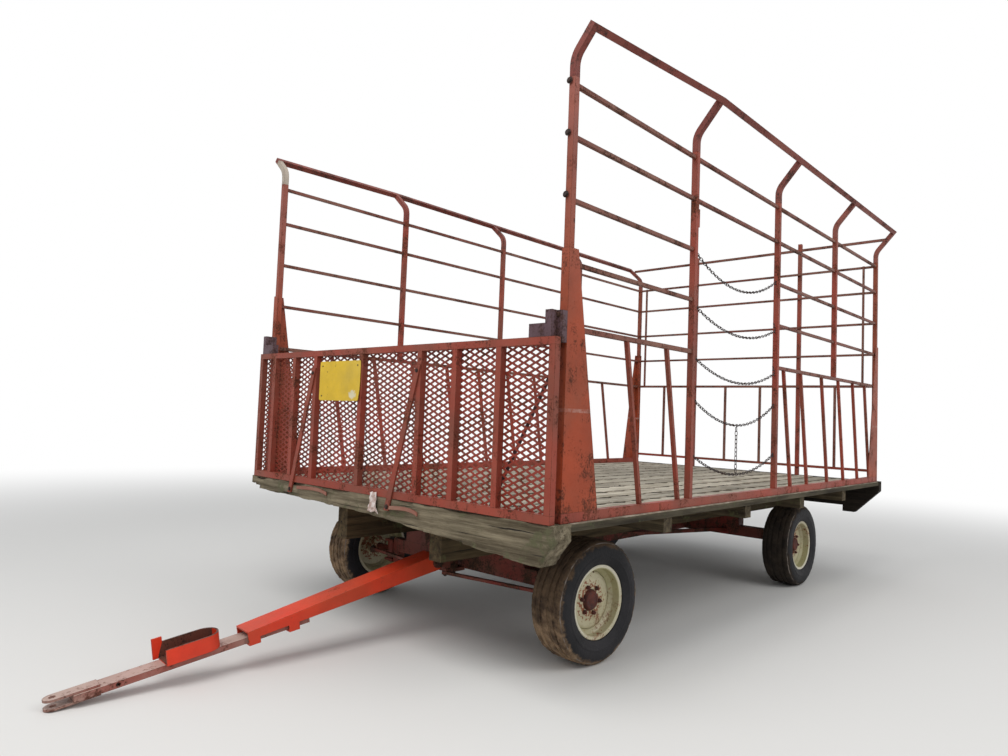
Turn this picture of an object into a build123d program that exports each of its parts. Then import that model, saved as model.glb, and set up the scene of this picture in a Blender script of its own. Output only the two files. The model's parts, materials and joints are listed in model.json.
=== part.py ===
# Hay wagon: a steel bale rack on a plank deck, carried by a four-wheel running gear with a drop tongue.
# Millimetres. +X is forward, towards the tongue, +Y is the wagon's left and +Z is up.
# Stations are measured from the rack's front corner, the middle plane and the ground. The finished model
# is then moved so that its origin lies at the bottom centre of its bounding box.
from build123d import *
from math import atan2, cos, degrees, hypot, radians, sin
import os

# Deck
DECK_TOP = 873.0
DECK_HALF_WIDTH = 1395.0
DECK_FRONT = 80.0
DECK_REAR = -5030.0
PLANK_THICK = 40.0
PLANK_COUNT = 14
PLANK_GAP = 8.0
JOIST_SIZE = 89.0
JOISTS = (-995.0, -2056.0, -3036.0, -4016.0)
JOIST_SHORT_OF_EDGE = 30.0
SILL_WIDE = 100.0
SILL_DEEP = 201.0
SILL_Y = 450.0
FRONT_HEADER_THICK = 140.0
FRONT_HEADER_DEEP = 205.0
FRONT_HEADER_CUT = 80.0
HEADER_MIDDLE_DEEP = 112.0
HEADER_WORN_DEEP = 88.0
HEADER_WORN_FROM_END = 120.0
HEADER_END_DEEP = 50.0
REAR_HEADER_THICK = 70.0
REAR_HEADER_DEEP = 260.0
REAR_CORNER_DEEP = 320.0
REAR_CORNER_CUT = 225.0
REAR_CORNER_LONG = 110.0

# Rack
RACK_IN_FROM_EDGE = 45.0
RACK_SHORT_OF_DECK = 70.0
POST_SIZE = 36.0
POST_TOP = 2150.0
SHEET = 6.0
BOTTOM_RAIL = 48.0
CORNER_FOOT = 290.0
CORNER_FOOT_REAR = 280.0
CORNER_NECK = 72.0
CORNER_TAPER_TOP = 1310.0
CORNER_LEG = 48.0
RAIL_SIZE = 21.0
MID_RAIL_SIZE = 25.0
RAIL_LEVELS = (2116.0, 1858.0, 1547.0, 1240.0)
MID_RAIL = 926.0
LEFT_POSTS = (-1250.0, -2515.0, -3755.0)
RIGHT_POSTS = (-1180.0, -2415.0, -3675.0)
DOOR_BAY = 1
BAR_SIZE = 22.0
BAR_LEAN = 165.0
LEFT_BARS = (-545.0, -956.0, -2660.0, -3000.0, -3460.0, -3870.0, -4260.0, -4610.0)
BAR_PITCH_RIGHT = 407.0
FIRST_BAR_RIGHT = -505.0
BEND_RISE = 101.0
BEND_RADIUS = 120.0
TOP_TUBE = 36.0
TOP_RAIL = 36.0
FLARE_REACH = 158.0
LEFT_FLARE_RISE = 188.0
RIGHT_FLARE_RISE = 146.0
LEFT_FRONT_DROP = 88.0
RIGHT_FRONT_DROP = 66.0
DOUBLER_TOP = 1800.0
DOUBLER_LOW = 1690.0
DOUBLER_WIDE = 14.0

# Rear end of the rack
REAR_TOP_RAIL = 2381.0
REAR_TOP_SIZE = 24.0
REAR_BOTTOM_RAIL = 100.0
REAR_POST_Y = 600.0
REAR_POST_TOP = 2448.0
REAR_POST = 36.0
REAR_THIN_FROM_POST = 105.0
REAR_THIN = 18.0
REAR_BAR_Y = (200.0, 980.0)

# Front gate
GATE_SHORT_OF_RACK = 2.0
GATE_TOP = 875.0
GATE_TUBE = 38.0
GATE_BOTTOM_TUBE = 42.0
GATE_BARS_Y = (1010.0, 690.0, 405.0, -140.0, -645.0, -908.0, -1170.0)
MESH_THICK = 4.0
MESH_HOLE_WIDE = 120.0
MESH_HOLE_TALL = 62.0
MESH_STRAND = 12.0
BRACE_BARS_Y = (405.0, -645.0)
BRACE_SPREAD = 225.0
BRACE_TOP = 760.0
BRACE_FOOT_DROP = 70.0
BRACE_WIDE = 40.0
BRACE_THICK = 10.0
ROD_SIZE = 18.0
ROD_TOP = 800.0
ROD_LEAN = 426.0
LATCH_WIDE = 70.0
LATCH_LOW = 850.0
LATCH_HIGH = 1003.0
LATCH_BAR_TOP = 940.0
LATCH_BOLT = 40.0
LATCH_REACH = 170.0
SIGN_WIDE = 440.0
SIGN_TALL = 250.0
SIGN_Y = -355.0
SIGN_Z = 675.0
SIGN_THICK = 3.0

# Door chains: how far each hangs below its hooks, at its lowest, and the hook heights above the deck
CHAINS = (
    # height on the front post, height on the rear post, lowest point
    (1534.0, 1550.0, 1395.0),
    (1208.0, 1191.0, 1088.0),
    (895.0, 876.0, 774.0),
    (641.0, 645.0, 492.0),
    (304.0, 288.0, 168.0),
)
CHAIN_LINKS = 24
DROP_LINKS = 7
LINK_WIDE = 26.0
LINK_BAR = 8.0
LINK_OVERLAP = 8.0

# Wheels
FRONT_WHEEL_X = -737.0
REAR_WHEEL_X = -3735.0
TRACK_HALF = 1008.0
TYRE_RADIUS = 346.0
TYRE_WIDE = 244.0
TYRE_WALL = (
    # below the tread, in from the widest point
    (91.0, 3.0), (64.0, 0.0), (30.0, 5.0), (9.0, 16.0), (0.0, 36.0),
)
TYRE_LINING = (
    # below the tread, in from the widest point
    (114.0, 26.0), (78.0, 18.0), (24.0, 44.0),
)
TYRE_OVER_FLANGE = 3.0
FLANGE_ROLL_UP = 8.0
FLANGE_ROLL_OUT = 6.0
BEAD_THICK = 24.0
RIM_RADIUS = 207.0
BEAD_RADIUS = 190.0
BEAD_GAP = 0.3
RIM_WIDE = 200.0
RIM_WALL = 6.0
WELL_RADIUS = 168.0
WELL_HALF = 30.0
WELL_SLOPE = 12.0
WELL_WALL_SHIFT = 2.0
BEAD_SLOPE = 4.0
DISC_FACE = 34.0
DISC_WALL = 8.0
DISC_CURL = 20.0
HUB_RADIUS = 55.0
HUB_PROUD = 22.0
HUB_BEVEL = 13.0
HUB_BACK = -62.0
SPINDLE_RADIUS = 25.0
SPINDLE_END_GAP = 2.0
RUNNING_FIT = 0.05

# Axles, bolsters and reach
AXLE_SIZE = 90.0
AXLE_BOTTOM = 355.0
BOLSTER_HALF = 560.0
BOLSTER_WIDE = 100.0
STAKE_THICK = 25.0
STAKE_WIDE = 60.0
STAKE_RISE = 120.0
AXLE_END_CLEAR = 1.0
AXLE_END_PLATE = 20.0
REACH_SIZE = 76.0
HOUND_WIDE = 46.0
HOUND_TALL = 30.0
HOUNDS = (
    # wheel station, direction towards the reach, start across, length along the reach
    (REAR_WHEEL_X, 1.0, 420.0, 1000.0),
    (FRONT_WHEEL_X, -1.0, 300.0, 620.0),
)

# Steering: knuckles on vertical kingpins, led by the tongue's yoke through two tie rods
STEER_PARKED = -4.05
KINGPIN_FROM_WHEEL = 228.0
KINGPIN_RADIUS = 15.0
BARREL_RADIUS = 32.0
BARREL_LOW = 290.0
BARREL_HIGH = 408.0
EAR_THICK = 18.0
EAR_GAP = 1.0
EAR_WIDE = 76.0
WEB_HALF = 28.0
WEB_CLEAR = 20.0
ARM_AHEAD = 120.0
ARM_ASIDE = 70.0
ARM_WIDE = 40.0
ARM_THICK = 16.0
ROD_EYE_RADIUS = 22.0
ROD_WIDE = 24.0
ROD_THICK = 19.0
PIN_RADIUS = 10.0
PIN_PROUD = 4.0
ROD_PLAY = 0.5
OPEN_PIVOT_CLEARANCE = 1.0
YOKE_AHEAD = 110.0
YOKE_BARREL_RADIUS = 34.0
YOKE_PIN_RADIUS = 16.0
YOKE_WIDE = 80.0
YOKE_HEAD = 40.0
YOKE_HEAD_CLEAR = 8.0
ROD_PLATE_HALF = 24.0
ROD_PLATE_THICK = 16.0
BRACKET_IN = 10.0
BRACKET_OUT = 14.0
FORK_DEEP = 60.0
ARM_TOP = 345.0
HINGE_EAR_RADIUS = 34.0

# Tongue: a wide channel, open below, in which the front pole slides
HINGE_AHEAD = 190.0
HINGE_Z = 428.0
HINGE_PIN_RADIUS = 12.0
HINGE_EAR = 12.0
HINGE_GAP = 1.0
TONGUE_WIDE = 148.0
TONGUE_PLATE = 8.0
TONGUE_TALL_REAR = 100.0
TONGUE_TALL_FRONT = 42.0
TONGUE_LENGTH = 1235.0
TONGUE_SLOPE = 11.45
GUIDES = ((-70.0, -10.0), (-290.0, -230.0))
GUIDE_RISE = 50.0
GUIDE_CLEARANCE = 1.0

# Front pole, its U strap and its hitch clevis, along the pole's slope
POLE_SLOPE = 8.4
POLE_REAR = -360.0
POLE_WIDE = 100.0
POLE_TALL = 30.0
TIP_AHEAD = 2390.0
STRAP_START = 118.0
STRAP_LENGTH = 272.0
STRAP_TALL = 78.0
STRAP_PLATE = 9.0
STRAP_FLOOR = 5.0
STRAP_TAB = 24.0
CLEVIS_LENGTH = 110.0
CLEVIS_WIDE = 76.0
CLEVIS_PLATE = 10.0
HITCH_RADIUS = 14.0
SIDE_HOLE_RADIUS = 10.0
SIDE_HOLE_FROM_TIP = 290.0


def box(x_span, y_span, z_span):
    """A block between three pairs of faces."""
    size = [high - low for low, high in (x_span, y_span, z_span)]
    middle = [(high + low) / 2 for low, high in (x_span, y_span, z_span)]
    return Pos(*middle) * Box(*size)


def plate_xz(points, y_low, y_high):
    """A plate with a side outline, from its x and z corners."""
    outline = make_face(Polyline(*points, close=True))
    return extrude(Plane.XZ.offset(-y_high) * outline, amount=y_high - y_low)


def plate_yz(points, x_low, x_high):
    """A plate with an end outline, from its y and z corners."""
    outline = make_face(Polyline(*points, close=True))
    return extrude(Plane.YZ.offset(x_low) * outline, amount=x_high - x_low)


def plate_xy(points, z_low, z_high):
    """A plate with a plan outline, from its x and y corners."""
    outline = make_face(Polyline(*points, close=True))
    return extrude(Plane.XY.offset(z_low) * outline, amount=z_high - z_low)


def upright_pin(x, y, z_low, z_high, radius):
    """A round pin or hole on a vertical axis."""
    return Pos(x, y, (z_low + z_high) / 2) * Cylinder(radius, z_high - z_low)


def cross_pin(x, z, y_low, y_high, radius):
    """A round pin or hole on an axis across the wagon."""
    return Pos(x, (y_low + y_high) / 2, z) * Rot(90, 0, 0) * Cylinder(radius, y_high - y_low)


def mirrored(shape, side):
    """The same piece for the wagon's left (1) or right (-1)."""
    return shape if side > 0 else mirror(shape, Plane.XZ)


def turned(shape, x, y, angle):
    """A piece turned in plan about a vertical axis."""
    return Pos(x, y, 0) * Rot(0, 0, angle) * Pos(-x, -y, 0) * shape


PLANK_BOTTOM = DECK_TOP - PLANK_THICK
JOIST_BOTTOM = PLANK_BOTTOM - JOIST_SIZE
SILL_BOTTOM = JOIST_BOTTOM - SILL_DEEP
AXLE_TOP = AXLE_BOTTOM + AXLE_SIZE
RACK_Y = DECK_HALF_WIDTH - RACK_IN_FROM_EDGE
RACK_REAR = DECK_REAR + RACK_SHORT_OF_DECK
BEND_HEIGHT = POST_TOP + BEND_RISE
REAR_AXLE_HALF = TRACK_HALF - TYRE_WIDE / 2 - AXLE_END_CLEAR
KINGPIN_Y = TRACK_HALF - KINGPIN_FROM_WHEEL
FRAME_FRONT = DECK_FRONT - FRONT_HEADER_THICK
FRAME_REAR = DECK_REAR + REAR_HEADER_THICK
SIDES = (1, -1)
FLARES = {
    # side: rise of the flare above the bend, how far the rail's front end lies back down the flare
    1: (LEFT_FLARE_RISE, LEFT_FRONT_DROP),
    -1: (RIGHT_FLARE_RISE, RIGHT_FRONT_DROP),
}
# How far a cut runs past the face that it opens
PAST_FACE = 1.0


def deck_planks():
    """Planks laid lengthwise, between the headers' outer faces."""
    pitch = 2 * DECK_HALF_WIDTH / PLANK_COUNT
    planks = []
    for number in range(PLANK_COUNT):
        low = -DECK_HALF_WIDTH + number * pitch
        planks.append(box((FRAME_REAR, FRAME_FRONT), (low + PLANK_GAP / 2, low + pitch - PLANK_GAP / 2),
                          (PLANK_BOTTOM, DECK_TOP)))
    return planks


def cross_joists():
    """Square joists across the two sills."""
    half = DECK_HALF_WIDTH - JOIST_SHORT_OF_EDGE
    return [box((x - JOIST_SIZE / 2, x + JOIST_SIZE / 2), (-half, half), (JOIST_BOTTOM, PLANK_BOTTOM))
            for x in JOISTS]


def sills():
    """The two long timbers that rest on the bolsters."""
    return [box((FRAME_REAR, FRAME_FRONT), (side * SILL_Y - SILL_WIDE / 2, side * SILL_Y + SILL_WIDE / 2),
                (SILL_BOTTOM, JOIST_BOTTOM)) for side in SIDES]


def front_header():
    """The front cross timber: deep at the left end, worn away towards the right."""
    half = DECK_HALF_WIDTH
    below_deck = (
        # y, depth below the deck
        (half, 0.0), (half, FRONT_HEADER_CUT), (half - FRONT_HEADER_CUT, FRONT_HEADER_DEEP),
        (0.0, HEADER_MIDDLE_DEEP), (-half + HEADER_WORN_FROM_END, HEADER_WORN_DEEP), (-half, HEADER_END_DEEP),
        (-half, 0.0),
    )
    return [plate_yz([(y, DECK_TOP - depth) for y, depth in below_deck], FRAME_FRONT, DECK_FRONT)]


def rear_header():
    """The rear cross timber: deepest next to its ends, which are cut off at a slant."""
    half = DECK_HALF_WIDTH
    below_deck = (
        # y, depth below the deck
        (half, 0.0), (half, REAR_CORNER_DEEP - REAR_CORNER_CUT), (half - REAR_CORNER_CUT, REAR_CORNER_DEEP),
        (half - REAR_CORNER_CUT - REAR_CORNER_LONG, REAR_CORNER_DEEP),
        (half - REAR_CORNER_CUT - REAR_CORNER_LONG, REAR_HEADER_DEEP),
    )
    left = [(y, DECK_TOP - depth) for y, depth in below_deck]
    right = [(-y, height) for y, height in reversed(left)]
    return [plate_yz(left + right, DECK_REAR, FRAME_REAR)]


def level(height):
    """A height above the deck, as a height above the ground."""
    return DECK_TOP + height


RACK_OUTER = RACK_Y + POST_SIZE / 2 + SHEET
GATE_HALF = RACK_OUTER - GATE_SHORT_OF_RACK
REAR_LINE = RACK_REAR + SHEET + POST_SIZE / 2


def rear_rail(height, size):
    """One square rail across the rear, between the corner posts."""
    half = size / 2
    reach = RACK_Y - POST_SIZE / 2
    tall = (level(height - half), level(height + half))
    return box((REAR_LINE - half, REAR_LINE + half), (-reach, reach), tall)


def rack_bottom_rails():
    """The rack's lowest members: one along each deck edge, and the raised one across the rear."""
    inner = RACK_Y - POST_SIZE / 2
    rails = [mirrored(box((RACK_REAR, 0.0), (inner, RACK_OUTER), (DECK_TOP, level(BOTTOM_RAIL))), side)
             for side in SIDES]
    return rails + [rear_rail(REAR_BOTTOM_RAIL, MID_RAIL_SIZE)]


def corner_post(end, side):
    """A tapered sheet angle with a square post in its corner. end is 1 at the front, -1 at the rear."""
    edge = 0.0 if end > 0 else RACK_REAR
    foot = CORNER_FOOT if end > 0 else CORNER_FOOT_REAR
    outer = RACK_OUTER
    low = level(BOTTOM_RAIL)
    high = level(CORNER_TAPER_TOP)
    corners = [(edge, low), (edge - end * foot, low), (edge - end * CORNER_NECK, high), (edge, high)]
    side_sheet = plate_xz(corners, outer - SHEET, outer)
    face = sorted((edge, edge - end * SHEET))
    end_sheet = box(face, (outer - CORNER_LEG, outer), (low, high))
    post_x = sorted((edge - end * SHEET, edge - end * (SHEET + POST_SIZE)))
    post = box(post_x, (outer - SHEET - POST_SIZE, outer - SHEET), (low, level(POST_TOP)))
    return [mirrored(side_sheet + end_sheet + post, side)]


def side_posts():
    """The upright posts between the corners. The door's two posts reach the bottom rail."""
    half = POST_SIZE / 2
    posts = []
    for side, stations in ((1, LEFT_POSTS), (-1, RIGHT_POSTS)):
        for number, x in enumerate(stations):
            on_door = side > 0 and number in (DOOR_BAY - 1, DOOR_BAY)
            low = BOTTOM_RAIL if on_door else MID_RAIL + MID_RAIL_SIZE / 2
            post = box((x - half, x + half), (RACK_Y - half, RACK_Y + half), (level(low), level(POST_TOP)))
            if side > 0 and number == 0:
                post += box((x - half - DOUBLER_WIDE, x - half), (RACK_Y - half, RACK_Y + half),
                            (level(DOUBLER_LOW), level(DOUBLER_TOP)))
            posts.append(mirrored(post, side))
    return posts


def rail(x_low, x_high, height, side, size=RAIL_SIZE):
    """One square side rail on the posts' middle plane."""
    half = size / 2
    piece = box((x_low, x_high), (RACK_Y - half, RACK_Y + half), (level(height - half), level(height + half)))
    return mirrored(piece, side)


def side_rails():
    """Rails between the posts. The door bay has only the two highest."""
    half = POST_SIZE / 2
    front = -SHEET - POST_SIZE
    rear = RACK_REAR + SHEET + POST_SIZE
    rails = []
    for side, stations in ((1, LEFT_POSTS), (-1, RIGHT_POSTS)):
        starts = [front] + [x - half for x in stations]
        stops = [x + half for x in stations] + [rear]
        for bay, (x_high, x_low) in enumerate(zip(starts, stops)):
            for number, height in enumerate(RAIL_LEVELS):
                if side > 0 and bay == DOOR_BAY and number > 1:
                    continue
                rails.append(rail(x_low, x_high, height, side))
    rails.append(rail(LEFT_POSTS[DOOR_BAY - 1] + half, front, MID_RAIL, 1, MID_RAIL_SIZE))
    rails.append(rail(rear, LEFT_POSTS[DOOR_BAY] - half, MID_RAIL, 1, MID_RAIL_SIZE))
    rails.append(rail(rear, front, MID_RAIL, -1, MID_RAIL_SIZE))
    return rails


def side_bars():
    """Short leaning bars between the mid rail and the bottom rail."""
    low = level(BOTTOM_RAIL)
    high = level(MID_RAIL - MID_RAIL_SIZE / 2)
    half = BAR_SIZE / 2
    count = int((abs(RACK_REAR) - abs(FIRST_BAR_RIGHT)) / BAR_PITCH_RIGHT)
    right_bars = [FIRST_BAR_RIGHT - number * BAR_PITCH_RIGHT for number in range(count)]
    bars = []
    for side, stations in ((1, LEFT_BARS), (-1, right_bars)):
        for x in stations:
            foot = x - BAR_LEAN
            bar = plate_xz([(x - half, high), (x + half, high), (foot + half, low), (foot - half, low)],
                           RACK_Y - half, RACK_Y + half)
            bars.append(mirrored(bar, side))
    return bars


def flare_plane(side):
    """The plane of the left side's bent tops, at either side's lean. x is along the wagon, y up the flare."""
    lean = atan2(FLARE_REACH, FLARES[side][0])
    return Plane(origin=(0, RACK_Y, level(BEND_HEIGHT)), x_dir=(1, 0, 0), z_dir=(0, -cos(lean), sin(lean)))


def top_stations(side):
    """The places of the bent tops, front to rear, and how far up the flare the top rail lies at each."""
    stations = LEFT_POSTS if side > 0 else RIGHT_POSTS
    rise, drop = FLARES[side]
    up = hypot(FLARE_REACH, rise)
    inset = SHEET + POST_SIZE / 2
    places = [-inset] + list(stations) + [RACK_REAR + inset]
    return list(zip(places, [up - drop] + [up] * (len(places) - 1)))


def top_rail(side):
    """The square rail along the bent tops of one side. Its front bay runs back down the flare."""
    half = TOP_RAIL / 2
    places = top_stations(side)
    ends = [(places[0][0] + half, places[0][1])] + places[1:-1] + [(places[-1][0] - half, places[-1][1])]
    upper = [(x, up + half) for x, up in ends]
    lower = [(x, up - half) for x, up in reversed(ends)]
    outline = make_face(Polyline(*upper, *lower, close=True))
    return mirrored(extrude(flare_plane(side) * outline, amount=half, both=True), side)


def rear_top_rail():
    """The rail across the rear, against the rear faces of the last two bent tops."""
    half = REAR_TOP_SIZE / 2
    face = REAR_LINE - TOP_TUBE / 2
    reach = RACK_Y + FLARE_REACH * (REAR_TOP_RAIL - BEND_HEIGHT) / LEFT_FLARE_RISE
    tall = (level(REAR_TOP_RAIL - half), level(REAR_TOP_RAIL + half))
    return box((face - REAR_TOP_SIZE, face), (-reach, reach), tall)


def top_rails():
    return [top_rail(side) for side in SIDES]


def post_tops():
    """The bent tubes that stand on the posts and carry the top rails."""
    tops = []
    for side in SIDES:
        top = level(BEND_HEIGHT + FLARES[side][0])
        bend = (RACK_Y, level(BEND_HEIGHT))
        foot = (RACK_Y, level(POST_TOP))
        path = FilletPolyline(foot, bend, (RACK_Y + FLARE_REACH, top), radius=BEND_RADIUS)
        strip = trace(path, TOP_TUBE)
        for x, up in top_stations(side):
            tube = extrude(Plane.YZ.offset(x - TOP_TUBE / 2) * strip, amount=TOP_TUBE)
            spare = Pos(x, up + 2 * TOP_RAIL, 0) * Box(2 * TOP_RAIL, 4 * TOP_RAIL, 4 * TOP_RAIL)
            above = flare_plane(side) * spare
            tops.append(mirrored(tube - above, side) - top_rail(side))
    return tops


def rear_rails():
    """Rails across the rear, level with those of the sides, and the rear top rail."""
    rails = [rear_rail(height, RAIL_SIZE) for height in RAIL_LEVELS]
    return rails + [rear_rail(MID_RAIL, MID_RAIL_SIZE), rear_top_rail()]


def rear_posts():
    """Two tall posts behind the rear rails, standing on the rear header."""
    face = REAR_LINE - MID_RAIL_SIZE / 2
    half = REAR_POST / 2
    tall = (DECK_TOP, level(REAR_POST_TOP))
    notch = rear_top_rail()
    along = (face - REAR_POST, face)
    return [box(along, (side * REAR_POST_Y - half, side * REAR_POST_Y + half), tall) - notch
            for side in SIDES]


def rear_bars():
    """Short bars below the rear mid rail, and a thin upright near each corner."""
    half = BAR_SIZE / 2
    low = level(REAR_BOTTOM_RAIL + MID_RAIL_SIZE / 2)
    high = level(MID_RAIL - MID_RAIL_SIZE / 2)
    bars = [box((REAR_LINE - half, REAR_LINE + half), (side * y - half, side * y + half), (low, high))
            for side in SIDES for y in REAR_BAR_Y]
    thin = REAR_THIN / 2
    inner = REAR_LINE + RAIL_SIZE / 2
    thin_y = RACK_Y - REAR_THIN_FROM_POST
    thin_tall = (level(MID_RAIL + MID_RAIL_SIZE / 2), level(RAIL_LEVELS[0] + RAIL_SIZE / 2))
    bars += [box((inner, inner + REAR_THIN), (side * thin_y - thin, side * thin_y + thin), thin_tall)
             for side in SIDES]
    return bars


GATE_FRONT = DECK_FRONT
GATE_BACK = DECK_FRONT - GATE_TUBE


def gate_rails():
    """The gate's top and bottom members."""
    across = (-GATE_HALF, GATE_HALF)
    return [box((GATE_BACK, GATE_FRONT), across, (level(GATE_TOP - GATE_TUBE), level(GATE_TOP))),
            box((GATE_BACK, GATE_FRONT), across, (DECK_TOP, level(GATE_BOTTOM_TUBE)))]


def gate_bars():
    """The gate's uprights, unevenly spaced as they stand."""
    half = GATE_TUBE / 2
    places = (GATE_HALF - half,) + GATE_BARS_Y + (-GATE_HALF + half,)
    tall = (level(GATE_BOTTOM_TUBE), level(GATE_TOP - GATE_TUBE))
    return [box((GATE_BACK, GATE_FRONT), (y - half, y + half), tall) for y in places]


def gate_mesh():
    """The expanded metal behind the bars, here with coarse diamond openings."""
    low = DECK_TOP
    high = level(GATE_TOP)
    sheet = box((GATE_BACK - MESH_THICK, GATE_BACK), (-GATE_HALF, GATE_HALF), (low, high))
    pitch_y = MESH_HOLE_WIDE + MESH_STRAND * 2
    pitch_z = MESH_HOLE_TALL + MESH_STRAND
    rows = int((high - low - 2 * MESH_STRAND) / pitch_z)
    columns = int((2 * GATE_HALF - 2 * MESH_STRAND) / pitch_y)
    holes = []
    for row in range(rows):
        for column in range(columns):
            y = (column - (columns - 1) / 2) * pitch_y
            z = (low + high) / 2 + (row - (rows - 1) / 2) * pitch_z
            holes.append(Pos(y, z) * Polygon((-MESH_HOLE_WIDE / 2, 0), (0, -MESH_HOLE_TALL / 2),
                                             (MESH_HOLE_WIDE / 2, 0), (0, MESH_HOLE_TALL / 2), align=None))
    behind = Plane.YZ.offset(GATE_BACK - 2 * MESH_THICK)
    return [sheet - extrude(behind * Sketch(children=holes), amount=4 * MESH_THICK)]


def gate_braces():
    """Flat straps from two of the bars down to the header's face."""
    braces = []
    half = BRACE_WIDE / 2
    for y in BRACE_BARS_Y:
        foot = y - BRACE_SPREAD
        high = level(BRACE_TOP)
        low = level(-BRACE_FOOT_DROP)
        braces.append(plate_yz([(y - half, high), (y + half, high), (foot + half, low), (foot - half, low)],
                               GATE_FRONT, GATE_FRONT + BRACE_THICK))
    return braces


def gate_rod():
    """A thin rod from the left corner post down to the deck, behind the mesh."""
    half = ROD_SIZE / 2
    top_y = RACK_OUTER - CORNER_LEG
    foot_y = top_y - ROD_LEAN
    corners = [(top_y, level(ROD_TOP)), (top_y, level(ROD_TOP - 2 * ROD_SIZE)), (foot_y + half, DECK_TOP),
               (foot_y - half, DECK_TOP)]
    return [plate_yz(corners, -SHEET, -SHEET + half)]


def gate_latches():
    """A stepped block on each front corner post, with a bar that lies on the gate's top rail."""
    latches = []
    back = GATE_BACK - MESH_THICK
    for side in SIDES:
        block = box((0.0, back), (RACK_OUTER - LATCH_WIDE, RACK_OUTER), (level(LATCH_LOW), level(LATCH_HIGH)))
        block -= box((-PAST_FACE, back), (RACK_OUTER - LATCH_WIDE - PAST_FACE, RACK_OUTER - CORNER_LEG),
                     (level(LATCH_LOW - PAST_FACE), level(LATCH_BAR_TOP)))
        bolt = box((back, GATE_FRONT), (RACK_OUTER - LATCH_WIDE, RACK_OUTER - LATCH_WIDE + LATCH_BOLT),
                   (level(LATCH_BAR_TOP), level(LATCH_HIGH)))
        bar = box((back, GATE_FRONT), (RACK_OUTER - LATCH_REACH, RACK_OUTER - LATCH_WIDE + LATCH_BOLT),
                  (level(GATE_TOP), level(LATCH_BAR_TOP)))
        latches.append(mirrored(block + bolt + bar, side))
    return latches


def sign_plate():
    """A blank plate on the front of the gate."""
    return [box((GATE_FRONT, GATE_FRONT + SIGN_THICK), (SIGN_Y - SIGN_WIDE / 2, SIGN_Y + SIGN_WIDE / 2),
                (level(SIGN_Z - SIGN_TALL / 2), level(SIGN_Z + SIGN_TALL / 2)))]


def chain_link(x, height, length, slope, number):
    """One link of a door chain as a flat block. Every second link stands on edge."""
    wide, tall = (LINK_WIDE, LINK_BAR) if number % 2 else (LINK_BAR, LINK_WIDE)
    return Pos(x, RACK_Y, level(height)) * Rot(0, -degrees(slope), 0) * Box(length + LINK_OVERLAP, wide, tall)


def door_chains():
    """Five chains that sag across the doorway, the two lowest joined by a short upright one."""
    start = LEFT_POSTS[DOOR_BAY - 1] - POST_SIZE / 2
    stop = LEFT_POSTS[DOOR_BAY] + POST_SIZE / 2
    span = stop - start
    chains = []
    for front, rear, lowest in CHAINS:
        sag = (front + rear) / 2 - lowest
        links = []
        for number in range(CHAIN_LINKS):
            along = (number + 0.5) / CHAIN_LINKS
            height = front + (rear - front) * along - 4 * along * (1 - along) * sag
            slope = atan2(4 * (1 - 2 * along) * sag - (rear - front), -span)
            length = abs(span) / CHAIN_LINKS / cos(slope)
            links.append(chain_link(start + span * along, height, length, slope, number))
        chains.append(links[0] + links[1:])
    upper = CHAINS[3][2]
    pitch = (upper - CHAINS[4][2]) / DROP_LINKS
    drop = [chain_link(start + span / 2, upper - (number + 0.5) * pitch, pitch, radians(90.0), number)
            for number in range(DROP_LINKS)]
    tall = (DECK_TOP, level(POST_TOP))
    across = (RACK_Y - LINK_WIDE, RACK_Y + LINK_WIDE)
    posts = box((start, start + POST_SIZE), across, tall) + box((stop - POST_SIZE, stop), across, tall)
    return [chain - posts for chain in chains[:3]] + [chains[3] + chains[4] + drop - posts]


def bolsters():
    """The cross beams between axles and sills."""
    half = BOLSTER_WIDE / 2
    return [box((x - half, x + half), (-BOLSTER_HALF, BOLSTER_HALF), (AXLE_TOP, SILL_BOTTOM))
            for x in (FRONT_WHEEL_X, REAR_WHEEL_X)]


def bolster_stakes():
    """Upright stakes on the bolsters, against the sills' outer faces."""
    inner = SILL_Y + SILL_WIDE / 2
    return [mirrored(box((x - STAKE_WIDE / 2, x + STAKE_WIDE / 2), (inner, inner + STAKE_THICK),
                         (SILL_BOTTOM, SILL_BOTTOM + STAKE_RISE)), side)
            for x in (FRONT_WHEEL_X, REAR_WHEEL_X) for side in SIDES]


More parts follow.
